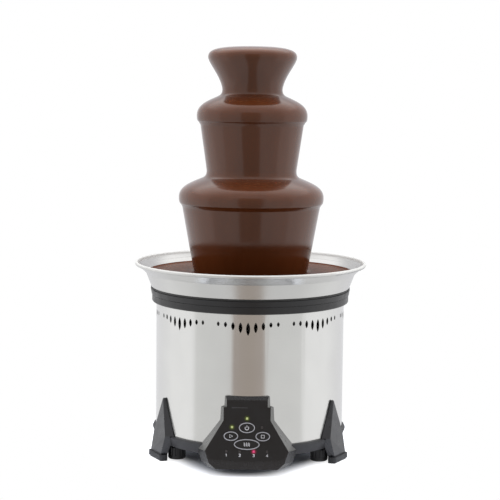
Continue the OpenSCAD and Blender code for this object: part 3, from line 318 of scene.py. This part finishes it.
# Legs
# Three dark moulded fins that clip over the band. Each is a slim pyramid with flat facets
# and a rounded tip that lies against the drum.
def ease_edges(node, width, segments=2):
    """Rounds the sharp edges of a moulded CAD node, as a mould's corners are."""
    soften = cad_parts[node].modifiers.new("edge", "BEVEL")
    soften.width = width
    soften.segments = segments
    soften.limit_method = "ANGLE"
    soften.angle_limit = math.radians(35)
    soften.harden_normals = False


leg_grey = moulded("leg_grey", (0.030, 0.031, 0.035), 0.32, grain=0.000008, grain_scale=2200)
for leg in ("leg_left", "leg_right", "leg_rear"):
    dress(leg, leg_grey)
    ease_edges(leg, 0.0007)

# Leg soles
# Dark rubber shoes pushed over the feet of the legs, with a narrower tread below.
# Their corners are well rounded and the rubber is dull.
sole_rubber = moulded("sole_rubber", (0.028, 0.029, 0.032), 0.62, grain=0.00006,
                      grain_scale=1500, mottle=0.18)
dress("leg_soles", sole_rubber)
ease_edges("leg_soles", 0.0020, segments=4)

# Levelling feet
# Black moulded knobs under the tray, fluted for the fingers and in one piece with their screws.
# Each winds down by itself to level the drum.
knob_black = moulded("knob_black", (0.008, 0.008, 0.009), rough=0.5)
for foot in ("level_foot_left", "level_foot_right", "level_foot_rear"):
    dress(foot, knob_black)


# Tie rods
# Three long bolts of blackened steel inside the drum. They pull the tray and the top ring
# onto the drum's two edges.
def plated(name, colour, rough=0.34, grain=0.00001, grain_scale=900):
    """Plated or ground metal: faint cloudy tone with fine drawn lines."""
    cloud_scale, cloud_shade, wear_scale, wear_spread = 60, 0.86, 240, 0.08
    paint, tree, surface, where = blank_finish(name)
    surface.inputs["Metallic"].default_value = 1.0
    cloudy = between(tree, speckle(tree, where, cloud_scale, 5))
    dim = tuple(c * cloud_shade for c in colour)
    tree.links.new(blend(tree, cloudy, dim, colour), surface.inputs["Base Color"])
    wear = speckle(tree, where, wear_scale, 3)
    tree.links.new(between(tree, wear, rough - wear_spread, rough + wear_spread),
                   surface.inputs["Roughness"])
    raised(tree, speckle(tree, where, grain_scale, 2), grain, surface)
    return paint


dress("tie_rods", plated("blackened_steel", (0.030, 0.030, 0.032), rough=0.45))

# Cord gland
# A black moulded bush where the cord enters the back of the drum. It snaps into a hole in the
# sheet and its flange lies against the steel.
dress("cord_gland", moulded("gland_black", (0.022, 0.022, 0.024), rough=0.55))


# Supply board
# A glass-fibre board with green lacquer on four posts. It carries a transformer, a relay,
# a capacitor and a terminal block.
def lacquered_board(name):
    """Green lacquer over copper tracks."""
    gloss_scale, gloss_low, gloss_high, track_height = 300, 0.28, 0.42, 0.00002
    paint, tree, surface, where = blank_finish(name)
    tracks = tree.nodes.new("ShaderNodeTexBrick")
    tracks.inputs["Scale"].default_value = 150
    tracks.inputs["Mortar Size"].default_value = 0.035
    tracks.inputs["Color1"].default_value = (0.020, 0.110, 0.045, 1)
    tracks.inputs["Color2"].default_value = (0.024, 0.125, 0.052, 1)
    tracks.inputs["Mortar"].default_value = (0.045, 0.200, 0.085, 1)
    tree.links.new(where, tracks.inputs["Vector"])
    tree.links.new(tracks.outputs["Color"], surface.inputs["Base Color"])
    tree.links.new(between(tree, speckle(tree, where, gloss_scale), gloss_low, gloss_high),
                   surface.inputs["Roughness"])
    raised(tree, tracks.outputs["Fac"], track_height, surface)
    return paint


board_lacquer = lacquered_board("board_lacquer")
dress("power_board", board_lacquer)


# Drum
# A rolled sheet of stainless steel, brushed round its circumference, with groups of punched
# lens-shaped vents. It stands in the tray's groove and the top ring caps it.
def flattened(tree, where):
    """The part of a place that lies level, out from the axis."""
    level = tree.nodes.new("ShaderNodeVectorMath")
    level.operation = "MULTIPLY"
    level.inputs[1].default_value = (1, 1, 0)
    tree.links.new(where, level.inputs[0])
    return level.outputs[0]


def reach_of(tree, level):
    """The distance of a place from the axis."""
    reach = tree.nodes.new("ShaderNodeVectorMath")
    reach.operation = "LENGTH"
    tree.links.new(level, reach.inputs[0])
    return reach.outputs["Value"]


def brushed(name, colour, rough, stretch, lines=2600, turn=0.25, grain=0.000004, tint=0.05):
    """Stainless steel with brush lines that run round the tower's axis."""
    line_drift, line_spread, cloud_scale = 0.012, 0.05, 22
    paint, tree, surface, where = blank_finish(name)
    surface.inputs["Metallic"].default_value = 1.0
    surface.inputs["Anisotropic"].default_value = stretch
    surface.inputs["Anisotropic Rotation"].default_value = turn
    run = tree.nodes.new("ShaderNodeTangent")
    run.direction_type = "RADIAL"
    run.axis = "Z"
    tree.links.new(run.outputs["Tangent"], surface.inputs["Tangent"])
    split = tree.nodes.new("ShaderNodeSeparateXYZ")
    tree.links.new(where, split.inputs[0])
    angle = reckon(tree, "ARCTAN2", split.outputs["Y"], split.outputs["X"])
    hair = tree.nodes.new("ShaderNodeCombineXYZ")
    tree.links.new(reach_of(tree, flattened(tree, where)), hair.inputs["X"])
    tree.links.new(reckon(tree, "MULTIPLY", angle, line_drift), hair.inputs["Y"])
    tree.links.new(split.outputs["Z"], hair.inputs["Z"])
    scratches = speckle(tree, hair.outputs[0], lines, 4, 0.7)
    cloudy = between(tree, speckle(tree, where, cloud_scale))
    dim = tuple(c * (1 - tint) for c in colour)
    tree.links.new(blend(tree, cloudy, dim, colour), surface.inputs["Base Color"])
    tree.links.new(between(tree, scratches, rough - line_spread, rough + line_spread),
                   surface.inputs["Roughness"])
    raised(tree, scratches, grain, surface)
    return paint


drum_steel = brushed("drum_steel", (0.66, 0.66, 0.65), rough=0.20, stretch=0.7)
dress("outer_shell", drum_steel)

# Top ring
# A black moulded ring with a rounded foot that caps the drum. Its spigot centres the drum
# and its lugs take the tie rods.
ring_black = moulded("ring_black", (0.010, 0.010, 0.0115), rough=0.38)
dress("top_ring", ring_black)
ease_edges("top_ring", 0.0006)

# Collar
# The second black band, moulded in the same plastic: a cup that carries the bowl and flares
# out under it. It sits on the top ring.
dress("collar", ring_black)
ease_edges("collar", 0.0005)

# Bowl seal
# A strip of black silicone between the bowl and the collar. It keeps spilt chocolate out
# of the drum.
dress("bowl_seal", moulded("silicone_black", (0.035, 0.035, 0.036), rough=0.6))


# Bowl
# Spun stainless steel with a flared brim and a rolled edge, seated in the collar. The spinning
# leaves fine rings, the inside is duller, and the rolled lip is buffed to a satin.
def retone_masked(paint, mask, tone, extra_rough):
    """Blends another tone and a rougher surface into a finish where the mask says so."""
    tree = paint.node_tree
    surface = skin_of(paint)
    before = surface.inputs["Base Color"].links[0].from_socket
    tree.links.new(blend(tree, mask, before, tone), surface.inputs["Base Color"])
    before = surface.inputs["Roughness"].links[0].from_socket
    tree.links.new(reckon(tree, "MULTIPLY_ADD", mask, extra_rough, before),
                   surface.inputs["Roughness"])


bowl_steel = brushed("bowl_steel", (0.60, 0.60, 0.59), rough=0.18, stretch=0.6, lines=2000,
                     turn=0.0)
bowl_tree = bowl_steel.node_tree
bowl_where = bowl_tree.nodes.new("ShaderNodeTexCoord")
bowl_form = bowl_tree.nodes.new("ShaderNodeNewGeometry")
bowl_level = flattened(bowl_tree, bowl_where.outputs["Object"])
bowl_outwards = bowl_tree.nodes.new("ShaderNodeVectorMath")
bowl_outwards.operation = "NORMALIZE"
bowl_tree.links.new(bowl_level, bowl_outwards.inputs[0])
bowl_facing = bowl_tree.nodes.new("ShaderNodeVectorMath")
bowl_facing.operation = "DOT_PRODUCT"
bowl_tree.links.new(bowl_form.outputs["Normal"], bowl_facing.inputs[0])
bowl_tree.links.new(bowl_outwards.outputs[0], bowl_facing.inputs[1])
outside_turn, inside_turn = 0.15, -0.15
bowl_inside = slide(bowl_tree, bowl_facing.outputs["Value"], outside_turn, inside_turn)
retone_masked(bowl_steel, bowl_inside, (0.54, 0.535, 0.525), extra_rough=0.03)

lip_start, lip_full = 0.1242, 0.1254
lip_under, lip_upper = -0.10, 0.35
lip_shine = 0.45
bowl_upright = bowl_tree.nodes.new("ShaderNodeSeparateXYZ")
bowl_tree.links.new(bowl_form.outputs["Normal"], bowl_upright.inputs[0])
lip_edge = slide(bowl_tree, reach_of(bowl_tree, bowl_level), lip_start, lip_full)
lip_top = slide(bowl_tree, bowl_upright.outputs["Z"], lip_under, lip_upper)
lip_buffed = reckon(bowl_tree, "MULTIPLY", lip_edge, lip_top)
retone_masked(bowl_steel, lip_buffed, (0.62, 0.62, 0.61), extra_rough=0.34)
bowl_tree.links.new(slide(bowl_tree, lip_buffed, 0, 1, 1.0, lip_shine),
                    skin_of(bowl_steel).inputs["Metallic"])
dress("basin", bowl_steel)


# Fold of the bowl's lip
# The sheet rolls over into the lip without a crease. This is the inner curve of that roll,
# in the bowl's own steel and part of the same spinning.
def bend(p, steps):
    """Points along a cubic curve from p[0] to p[3], each (radius, height)."""
    points = []
    for i in range(steps + 1):
        t = i / steps
        u = 1 - t
        pull = (u * u * u, 3 * u * u * t, 3 * u * t * t, t * t * t)
        points.append(tuple(sum(w * q[k] for w, q in zip(pull, p)) for k in range(2)))
    return points


def spun(name, section, turns, waver=None):
    """Spins a section of (radius, height) round the axis.

    A section that ends at its start closes on itself, and a point on the axis becomes a pole.
    waver(angle, height) moves the surface outwards.
    """
    closed = section[0] == section[-1]
    points = []
    rows = []
    for r, z in section[:-1] if closed else section:
        if r == 0:
            rows.append([len(points)] * turns)
            points.append((0, 0, z))
            continue
        rows.append(range(len(points), len(points) + turns))
        for k in range(turns):
            a = 2 * math.pi * k / turns
            grown = r + waver(a, z) if waver else r
            points.append((grown * math.cos(a), grown * math.sin(a), z))
    faces = []
    for row, lower in zip(rows, rows[1:] + (rows[:1] if closed else [])):
        for k in range(turns):
            n = (k + 1) % turns
            faces.append(tuple(dict.fromkeys((row[k], lower[k], lower[n], row[n]))))
    mesh = bpy.data.meshes.new(name)
    mesh.from_pydata(points, [], faces)
    mesh.validate()
    for face in mesh.polygons:
        face.use_smooth = True
    piece = bpy.data.objects.new(name, mesh)
    scene.collection.objects.link(piece)
    return piece


fold_start = (0.1212, 0.20898)
fold_section = bend((fold_start, (0.1230, 0.21065), (0.1251, 0.2136), (0.12581, 0.2151)), steps=12)
fold_section += [(0.1262, 0.2147), (0.1257, 0.2137), (0.1248, 0.2120), (0.1230, 0.2102),
                 (0.1213, 0.20865), fold_start]
fold = spun("bowl_lip_fold", fold_section, turns=192)
fold.data.materials.append(bowl_steel)
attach(fold, "base")

# Shaft hub and locating pins
# Turned stainless pieces on the bowl's floor: the sealed bearing of the drive shaft, and three
# pins that the tower's foot drops over.
turned_steel = brushed("turned_steel", (0.70, 0.70, 0.70), rough=0.26, stretch=0.5, lines=3000)
for piece in ("shaft_hub", "locating_pins"):
    dress(piece, turned_steel)

# Hub nut, bush and shaft seal
# A brass lock nut holds the hub from below, a sintered bush runs the shaft and a rubber lip
# seals it from the chocolate.
dress("hub_nut", plated("brass", (0.62, 0.47, 0.22), rough=0.3))
dress("shaft_bush", plated("sintered_bronze", (0.50, 0.34, 0.18), 0.45, 0.00002, 2500))
dress("shaft_seal", moulded("seal_rubber", (0.030, 0.030, 0.031), rough=0.6))

# Heater
# A cast aluminium plate against the bowl, with a steel-sheathed heating tube brazed under it
# and a ceramic thermostat beside the tube.
dress("heater_plate", plated("cast_aluminium", (0.70, 0.70, 0.71), 0.42, 0.00003, 1200))
dress("heater_element", plated("heat_stained_steel", (0.34, 0.31, 0.29), 0.45, 0.00002, 800))
dress("thermostat", moulded("ceramic", (0.62, 0.59, 0.52), rough=0.55))

# Gear frame
# Two pressed steel plates, zinc plated and held apart by spacers. They hang from posts under
# the bowl and carry the gears' pins.
frame_steel = plated("frame_steel", (0.46, 0.47, 0.49), rough=0.38)
for piece in ("gear_plate_top", "gear_plate_bottom", "gear_pillars", "hanger_posts"):
    dress(piece, frame_steel)

# Gears and shafts
# Acetal gears step the motor down twelve to one. Their pins and shafts are ground steel,
# and a cross pin in the output shaft turns the screw.
acetal = moulded("acetal", (0.72, 0.69, 0.60), rough=0.42)
for piece in ("compound_gear", "output_gear"):
    dress(piece, acetal)
ground_steel = plated("ground_steel", (0.66, 0.66, 0.67), rough=0.22)
for piece in ("idler_pin", "output_shaft", "drive_pin", "rotor_shaft"):
    dress(piece, ground_steel)

# Motor
# A drawn steel can with two bearing ends, bolted under the gear frame. It holds ring magnets
# and a copper-wound rotor, with a moulded fan below.
dress("motor_can", plated("motor_zinc", (0.52, 0.53, 0.55), rough=0.36))
dress("motor_endcap", plated("endcap_zinc", (0.40, 0.41, 0.43), rough=0.4))
dress("motor_magnets", moulded("ferrite", (0.045, 0.044, 0.045), rough=0.6))
dress("rotor_core", plated("copper_winding", (0.55, 0.28, 0.14), 0.4, 0.00008, 1500))
dress("cooling_fan", moulded("fan_black", (0.03, 0.03, 0.032), rough=0.5))

# Lifting screw
# A white helix moulded in one piece with its hub. It drops over the drive shaft and carries
# chocolate up the tube.
dress("auger", moulded("screw_white", (0.70, 0.69, 0.65), rough=0.38))

# Tower
# A stainless tube with two spun umbrella tiers and a crown cup pressed onto it. It stands over
# the locating pins and lifts off for washing.
tower_steel = brushed("tower_steel", (0.74, 0.74, 0.74), rough=0.24, stretch=0.5)
for piece in ("tower_tube", "lower_tier", "upper_tier", "crown"):
    dress(piece, tower_steel)


# Chocolate over the tower
# One unbroken skin of warm milk chocolate. It wells out of the crown, rolls over the edge of each
# tier and falls as a smooth curtain to the next, and at last to the pool.
def melted(name, rough, shine):
    """Melted chocolate: glossy, a little translucent, with streaks drawn along the flow."""
    dark, pale = (0.068, 0.0180, 0.0056), (0.078, 0.0214, 0.0070)
    streak_scale, gloss_scale, swell_scale, swell = 55, 30, 26, 0.00012
    paint, tree, surface, where = blank_finish(name)
    squeeze = tree.nodes.new("ShaderNodeMapping")
    squeeze.inputs["Scale"].default_value = (1.0, 1.0, 0.12)
    tree.links.new(where, squeeze.inputs["Vector"])
    streaks = between(tree, speckle(tree, squeeze.outputs["Vector"], streak_scale))
    tree.links.new(blend(tree, streaks, dark, pale), surface.inputs["Base Color"])
    tree.links.new(between(tree, speckle(tree, where, gloss_scale), rough - 0.02, rough + 0.03),
                   surface.inputs["Roughness"])
    surface.inputs["IOR"].default_value = 1.57
    surface.inputs["Specular IOR Level"].default_value = shine
    surface.inputs["Specular Tint"].default_value = (1.0, 0.88, 0.83, 1)
    surface.inputs["Subsurface Weight"].default_value = 0.12
    surface.inputs["Subsurface Radius"].default_value = (0.0040, 0.0016, 0.0009)
    surface.inputs["Subsurface Scale"].default_value = 0.5
    raised(tree, speckle(tree, where, swell_scale, 2), swell, surface, strength=0.6)
    return paint


# Just over the pool the curtain mirrors only dark chocolate, so its shine fades there.
chocolate_shine, foot_shine = 0.5, 0.05
foot_low, foot_high = 0.2340, 0.2425
chocolate = melted("milk_chocolate", 0.13, chocolate_shine)
flow_tree = chocolate.node_tree
flow_where = flow_tree.nodes.new("ShaderNodeTexCoord")
flow_split = flow_tree.nodes.new("ShaderNodeSeparateXYZ")
flow_tree.links.new(flow_where.outputs["Object"], flow_split.inputs[0])
flow_shine = slide(flow_tree, flow_split.outputs["Z"], foot_low, foot_high,
                   foot_shine, chocolate_shine, ease="SMOOTHSTEP")
flow_tree.links.new(flow_shine, skin_of(chocolate).inputs["Specular IOR Level"])

# The section of the skin, from the top down. Each curve goes on from the end of the one before
# and is given as its steps, two points that pull on it, and its end.
pool_top = 0.2042
curtain_dip = 0.0008
flow_top = (0, 0.4555)
flow_curves = (
    # crown and its waist
    (36, (0.0390, 0.4556), (0.0494, 0.4522), (0.0493, 0.4435)),
    (30, (0.0492, 0.4365), (0.0352, 0.4225), (0.0335, 0.4082)),
    (10, (0.0336, 0.4036), (0.0350, 0.4020), (0.0384, 0.4004)),
    # upper shoulder, the groove under it, upper curtain
    (30, (0.0490, 0.3955), (0.0616, 0.3912), (0.0616, 0.3792)),
    (12, (0.0616, 0.3748), (0.0610, 0.3730), (0.0597, 0.3722)),
    (8, (0.0589, 0.3710), (0.0581, 0.3698), (0.0574, 0.3685)),
    (24, (0.0549, 0.3510), (0.0524, 0.3348), (0.0503, 0.3190)),
    (10, (0.0500, 0.3140), (0.0510, 0.3116), (0.0548, 0.3098)),
    # lower shoulder, the groove under it, lower curtain
    (34, (0.0680, 0.3044), (0.0810, 0.2998), (0.0810, 0.2884)),
    (12, (0.0810, 0.2840), (0.0804, 0.2818), (0.0791, 0.2809)),
    (8, (0.0784, 0.2799), (0.0777, 0.2788), (0.0771, 0.2776)),
    (36, (0.0728, 0.2540), (0.0684, 0.2290), (0.0635, pool_top - curtain_dip)))
flow_section = [flow_top]
for steps, *curve in flow_curves:
    flow_section += bend((flow_section[-1], *curve), steps)[1:]


def slow_flow(a, z):
    """Slight unevenness of a flowing skin, up to a fifth of a millimetre."""
    broad = 0.00010 * math.sin(3 * a + 0.7 + 21 * z)
    narrow = 0.00007 * math.sin(7 * a + 2.1 - 34 * z)
    fine = 0.00003 * math.sin(19 * a + 1.3 + 60 * z)
    return broad + narrow + fine


flow = spun("chocolate_flow", flow_section, turns=160, waver=slow_flow)
skin = flow.modifiers.new("skin", "SOLIDIFY")
skin.thickness = 0.0020
skin.offset = -1.0
flow.data.materials.append(chocolate)
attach(flow, "tower")
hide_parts("chocolate_crown", "chocolate_upper", "chocolate_lower")

# Chocolate in the bowl
# The pool that the curtain falls into. It creeps a little up the steel at its edge, and low rings
# spread from the foot of the curtain.
pool_in, pool_out, pool_floor = 0.0350, 0.1165, 0.1720
pool_steps, inner_dip = 60, 0.0012
curtain_edge, foot_middle = 0.0640, 0.0645
swell_height, foot_spread, creep_spread = 0.0009, 0.0022, 0.0012
ring_height, ring_rate, ring_fade = 0.00003, 420, 0.014
pool_section = [(pool_in, pool_floor), (pool_in, pool_top - inner_dip)]
for i in range(pool_steps + 1):
    r = pool_in + (pool_out - pool_in) * i / pool_steps
    out = r - curtain_edge
    foot = math.exp(-((r - foot_middle) / foot_spread) ** 2) * swell_height
    creep = math.exp((r - pool_out) / creep_spread) * swell_height
    rings = ring_height * math.sin(out * ring_rate) * math.exp(-max(out, 0) / ring_fade)
    pool_section.append((r, pool_top + foot + creep + rings))
pool_section += [(0.1130, 0.1945), (0.1050, 0.1815), (0.0950, 0.1742), (0.0830, pool_floor),
                 (pool_in, pool_floor)]
pool = spun("chocolate_pool_surface", pool_section, turns=128)
pool.data.materials.append(melted("pool_chocolate", 0.16, 0.0032))
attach(pool, "base")
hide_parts("chocolate_pool")

# Control pod
# A near-black moulded housing screwed to the front of the base. It narrows to a stepped neck.
# Its sideways, upward-facing bevels are given a paler tone, a painted highlight, and its undersides
# have their shine turned down, standing in for shade.
pod_grey = moulded("pod_grey", (0.022, 0.022, 0.024), 0.26, grain=0.000008, grain_scale=2200)
pod_tree = pod_grey.node_tree
pod_form = pod_tree.nodes.new("ShaderNodeTexCoord")
pod_facing = pod_tree.nodes.new("ShaderNodeSeparateXYZ")
pod_tree.links.new(pod_form.outputs["Normal"], pod_facing.inputs[0])
# The sideways, upward-facing bevels get a paler tone: a painted highlight of the lit sides.
pod_sideways = reckon(pod_tree, "ABSOLUTE", pod_facing.outputs["X"])
side_start, side_full = 0.20, 0.35
up_start, up_full = -0.15, 0.0
bevel_side = slide(pod_tree, pod_sideways, side_start, side_full)
bevel_up = slide(pod_tree, pod_facing.outputs["Z"], up_start, up_full)
bevel_painted_highlight = reckon(pod_tree, "MULTIPLY", bevel_side, bevel_up)
retone_masked(pod_grey, bevel_painted_highlight, (0.115, 0.115, 0.113), extra_rough=0.04)
# Downward faces get less shine, standing in for the shade under the pod.
under_full, under_end = -0.25, -0.05
under_shine, upper_shine = 0.08, 0.5
pod_shine = slide(pod_tree, pod_facing.outputs["Z"], under_full, under_end,
                  under_shine, upper_shine)
pod_tree.links.new(pod_shine, skin_of(pod_grey).inputs["Specular IOR Level"])
dress("control_pod", pod_grey)
ease_edges("control_pod", 0.0005)

# Front sheet
# A black printed polyester sheet, cut out for the keys and the lights.
# It is stuck to the pod's face and follows its outline.
sheet_black = moulded("sheet_black", (0.0070, 0.0070, 0.0082), 0.36, grain=0.00002,
                      grain_scale=3200)
dress("panel_overlay", sheet_black)

# Keys
# Four oval keys, moulded in black plastic over silicone springs.
# They stand just proud of the sheet and push straight in.
key_black = moulded("key_black", (0.0070, 0.0070, 0.0082), 0.38, grain=0.00002, grain_scale=3200)
for key in ("key_power", "key_start", "key_stop", "key_heat"):
    dress(key, key_black)

# Key printing
# Pale grey screen print: an oval line round each key and a plain sign in it. Each print
# moves with its key.
face_foot = Vector((0, -0.1193, 0.0080))
face_lean = math.radians(8)
face_up = Vector((0, math.sin(face_lean), math.cos(face_lean)))
face_out = Vector((0, -math.cos(face_lean), math.sin(face_lean)))


def on_face(x, s, out):
    """A point of the pod's face: across, up the face, and out from it, in metres."""
    return face_foot + Vector((x, 0, 0)) + face_up * s + face_out * out


def printed(name, lines, width, out, paint, body):
    """Lays flat ribbons of print along lines on the face. Each line is (points, closed)."""
    thick = 0.00006
    points = []
    faces = []
    for line, closed in lines:
        count = len(line)
        first = len(points)
        for i in range(count):
            before = line[(i - 1) % count] if closed else line[max(i - 1, 0)]
            after = line[(i + 1) % count] if closed else line[min(i + 1, count - 1)]
            along = Vector((after[0] - before[0], after[1] - before[1]))
            along.normalize()
            side = Vector((-along.y, along.x)) * width / 2
            for lift, s in ((0, 1), (thick, 1), (thick, -1), (0, -1)):
                points.append(on_face(line[i][0] + s * side.x, line[i][1] + s * side.y, out + lift))
        for i in range(count if closed else count - 1):
            a = first + 4 * i
            b = first + 4 * ((i + 1) % count)
            for k in range(4):
                n = (k + 1) % 4
                faces.append((a + k, b + k, b + n, a + n))
        if not closed:
            e = first + 4 * (count - 1)
            faces += [(first, first + 1, first + 2, first + 3), (e + 3, e + 2, e + 1, e)]
    mesh = bpy.data.meshes.new(name)
    mesh.from_pydata(points, [], faces)
    mesh.materials.append(paint)
    piece = bpy.data.objects.new(name, mesh)
    scene.collection.objects.link(piece)
    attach(piece, body)


def oval(middle, a, b, steps=64):
    """Points round an oval, from its middle and half sizes."""
    angles = [2 * math.pi * i / steps for i in range(steps)]
    return [(middle[0] + a * math.cos(t), middle[1] + b * math.sin(t)) for t in angles]


def stroke(middle, points, size=1.0):
    """A line through points given from a middle, in millimetres."""
    return [(middle[0] + size * x / 1000, middle[1] + size * y / 1000) for x, y in points]


print_grey = moulded("print_grey", (0.44, 0.44, 0.48), 0.5, grain=0.00001, grain_scale=4000)
print_pale = moulded("print_pale", (0.60, 0.60, 0.63), 0.5, grain=0.00001, grain_scale=4000)
sheet_out = 0.0008
key_out = sheet_out + 0.0005
ring_width, sign_width = 0.0009, 0.0008
key_plan = {
    "power": ((0.0, 0.0441), 0.0085, 0.0055), "start": ((-0.0169, 0.0351), 0.0077, 0.0049),
    "stop": ((0.0169, 0.0351), 0.0077, 0.0049), "heat": ((0.0, 0.0265), 0.0136, 0.0056)}
for key, (middle, a, b) in key_plan.items():
    ring = oval(middle, a - ring_width / 2, b - ring_width / 2)
    printed("ring_" + key, [(ring, True)], ring_width, key_out, print_grey, key + "_key")

arc_reach, arc_drop = 1.9, 0.3
arc_turns = [math.radians(t) for t in range(38, 323, 12)]
power_arc = [(arc_reach * math.sin(t), arc_reach * math.cos(t) - arc_drop) for t in arc_turns]
wave_gap, wave_swing, wave_turn, wave_pace, wave_drop = 2.4, 0.55, 2.4, 80, 1.9
heat_waves = [([(x + wave_swing * math.sin(math.radians(t * wave_turn)), t / wave_pace - wave_drop)
                for t in range(0, 301, 15)], False) for x in (-wave_gap, 0, wave_gap)]
signs = {
    "power": [(power_arc, False), ([(0, 0.2), (0, 2.6)], False)],
    "start": [([(-1.3, -1.7), (-1.3, 1.7), (1.9, 0)], True)],
    "stop": [([(-1.6, -1.5), (-1.6, 1.5), (1.6, 1.5), (1.6, -1.5)], True)],
    "heat": heat_waves}
for key, lines in signs.items():
    middle = key_plan[key][0]
    sign = [(stroke(middle, points), closed) for points, closed in lines]
    printed("sign_" + key, sign, sign_width, key_out, print_pale, key + "_key")

# Sheet printing
# Plain numbers in the same pale print under the row of heat lights, and a fine crease pressed
# across the neck of the sheet, drawn as a thin paler grey line: a painted highlight where the fold
# catches the light.
light_row = (-0.0216, -0.0074, 0.0074, 0.0216)
number_line, number_size = 0.0150, 1.3
figures = (
    [(-0.5, 0.6), (0.1, 1.1), (0.1, -1.1)],
    [(-0.7, 0.6), (-0.4, 1.0), (0.3, 1.0), (0.7, 0.5), (0.5, 0.0), (-0.7, -1.0), (0.8, -1.0)],
    [(-0.7, 0.9), (0.2, 1.0), (0.6, 0.6), (0.4, 0.15), (-0.1, 0.05), (0.5, -0.1), (0.7, -0.5),
     (0.3, -1.0), (-0.7, -0.9)],
    [(0.4, -1.1), (0.4, 1.1), (-0.8, -0.4), (0.9, -0.4)])
numbers = [(stroke((x, number_line), figure, number_size), False)
           for x, figure in zip(light_row, figures)]
printed("heat_numbers", numbers, sign_width, sheet_out, print_pale, "base")
crease_width = 0.0004
crease = [(-0.0165, 0.0650), (-0.0110, 0.0651), (-0.0050, 0.0652), (0.0005, 0.0651)]
# The crease is a paler grey ribbon, a painted highlight along the fold.
crease_highlight_grey = moulded("crease_highlight_grey", (0.10, 0.10, 0.11), rough=0.4)
printed("neck_crease_highlight", [(crease, False)], crease_width, sheet_out, crease_highlight_grey, "base")


# Lights
# Small square light guides of clear plastic, pushed through the sheet from the control board.
# Two glow green, one glows red and four are dark.
def lit(name, colour, glow):
    """A clear light guide with a lamp behind it, brighter in some spots."""
    paint, tree, surface, where = blank_finish(name)
    spot_scale, colour_share, glow_share = 900, 0.8, 0.85
    spots = between(tree, speckle(tree, where, spot_scale, 2))
    dim_colour = tuple(v * colour_share for v in colour)
    dim_glow = tuple(v * glow_share for v in glow)
    tree.links.new(blend(tree, spots, dim_colour, colour), surface.inputs["Base Color"])
    tree.links.new(blend(tree, spots, dim_glow, glow), surface.inputs["Emission Color"])
    surface.inputs["Emission Strength"].default_value = 1.0
    surface.inputs["Roughness"].default_value = 0.25
    return paint


dress("lights_green", lit("light_green", (0.12, 0.14, 0.05), (0.40, 0.44, 0.20)))
dress("light_red", lit("light_red", (0.30, 0.03, 0.09), (0.58, 0.05, 0.16)))
dress("lights_off", moulded("light_dark", (0.055, 0.050, 0.052), rough=0.3))


def spill(paint, lamp_places, glow):
    """Light that creeps into the sheet round some lamps and fades away. Calls add up."""
    near, far = 0.0006, 0.0042
    tree = paint.node_tree
    surface = skin_of(paint)
    where = tree.nodes.new("ShaderNodeTexCoord")
    total = 0.0
    for place in lamp_places:
        gap = tree.nodes.new("ShaderNodeVectorMath")
        gap.operation = "DISTANCE"
        tree.links.new(where.outputs["Object"], gap.inputs[0])
        gap.inputs[1].default_value = place
        fade = slide(tree, gap.outputs["Value"], near, far, 1.0, 0.0, ease="SMOOTHERSTEP")
        total = reckon(tree, "ADD", fade, total)
    tint = blend(tree, total, (0, 0, 0), glow)
    for earlier in list(surface.inputs["Emission Color"].links):
        join = tree.nodes.new("ShaderNodeMix")
        join.data_type = "RGBA"
        join.blend_type = "ADD"
        join.inputs["Factor"].default_value = 1.0
        tree.links.new(earlier.from_socket, join.inputs["A"])
        tree.links.new(tint, join.inputs["B"])
        tint = join.outputs["Result"]
    tree.links.new(tint, surface.inputs["Emission Color"])
    surface.inputs["Emission Strength"].default_value = 1.0


power_lamp = on_face(0, 0.0538, sheet_out)
start_lamp = on_face(-0.0159, 0.0446, sheet_out)
heat_lamp = on_face(light_row[2], 0.0190, sheet_out)
spill(sheet_black, (power_lamp, start_lamp), (0.045, 0.065, 0.0))
spill(sheet_black, (heat_lamp,), (0.20, 0.006, 0.03))

# Control board and switches
# The lacquered board behind the sheet, screwed to four posts in the pod, with a small
# moulded switch under each key.
dress("control_board", board_lacquer)
dress("key_switches", moulded("switch_grey", (0.55, 0.55, 0.53), rough=0.4))
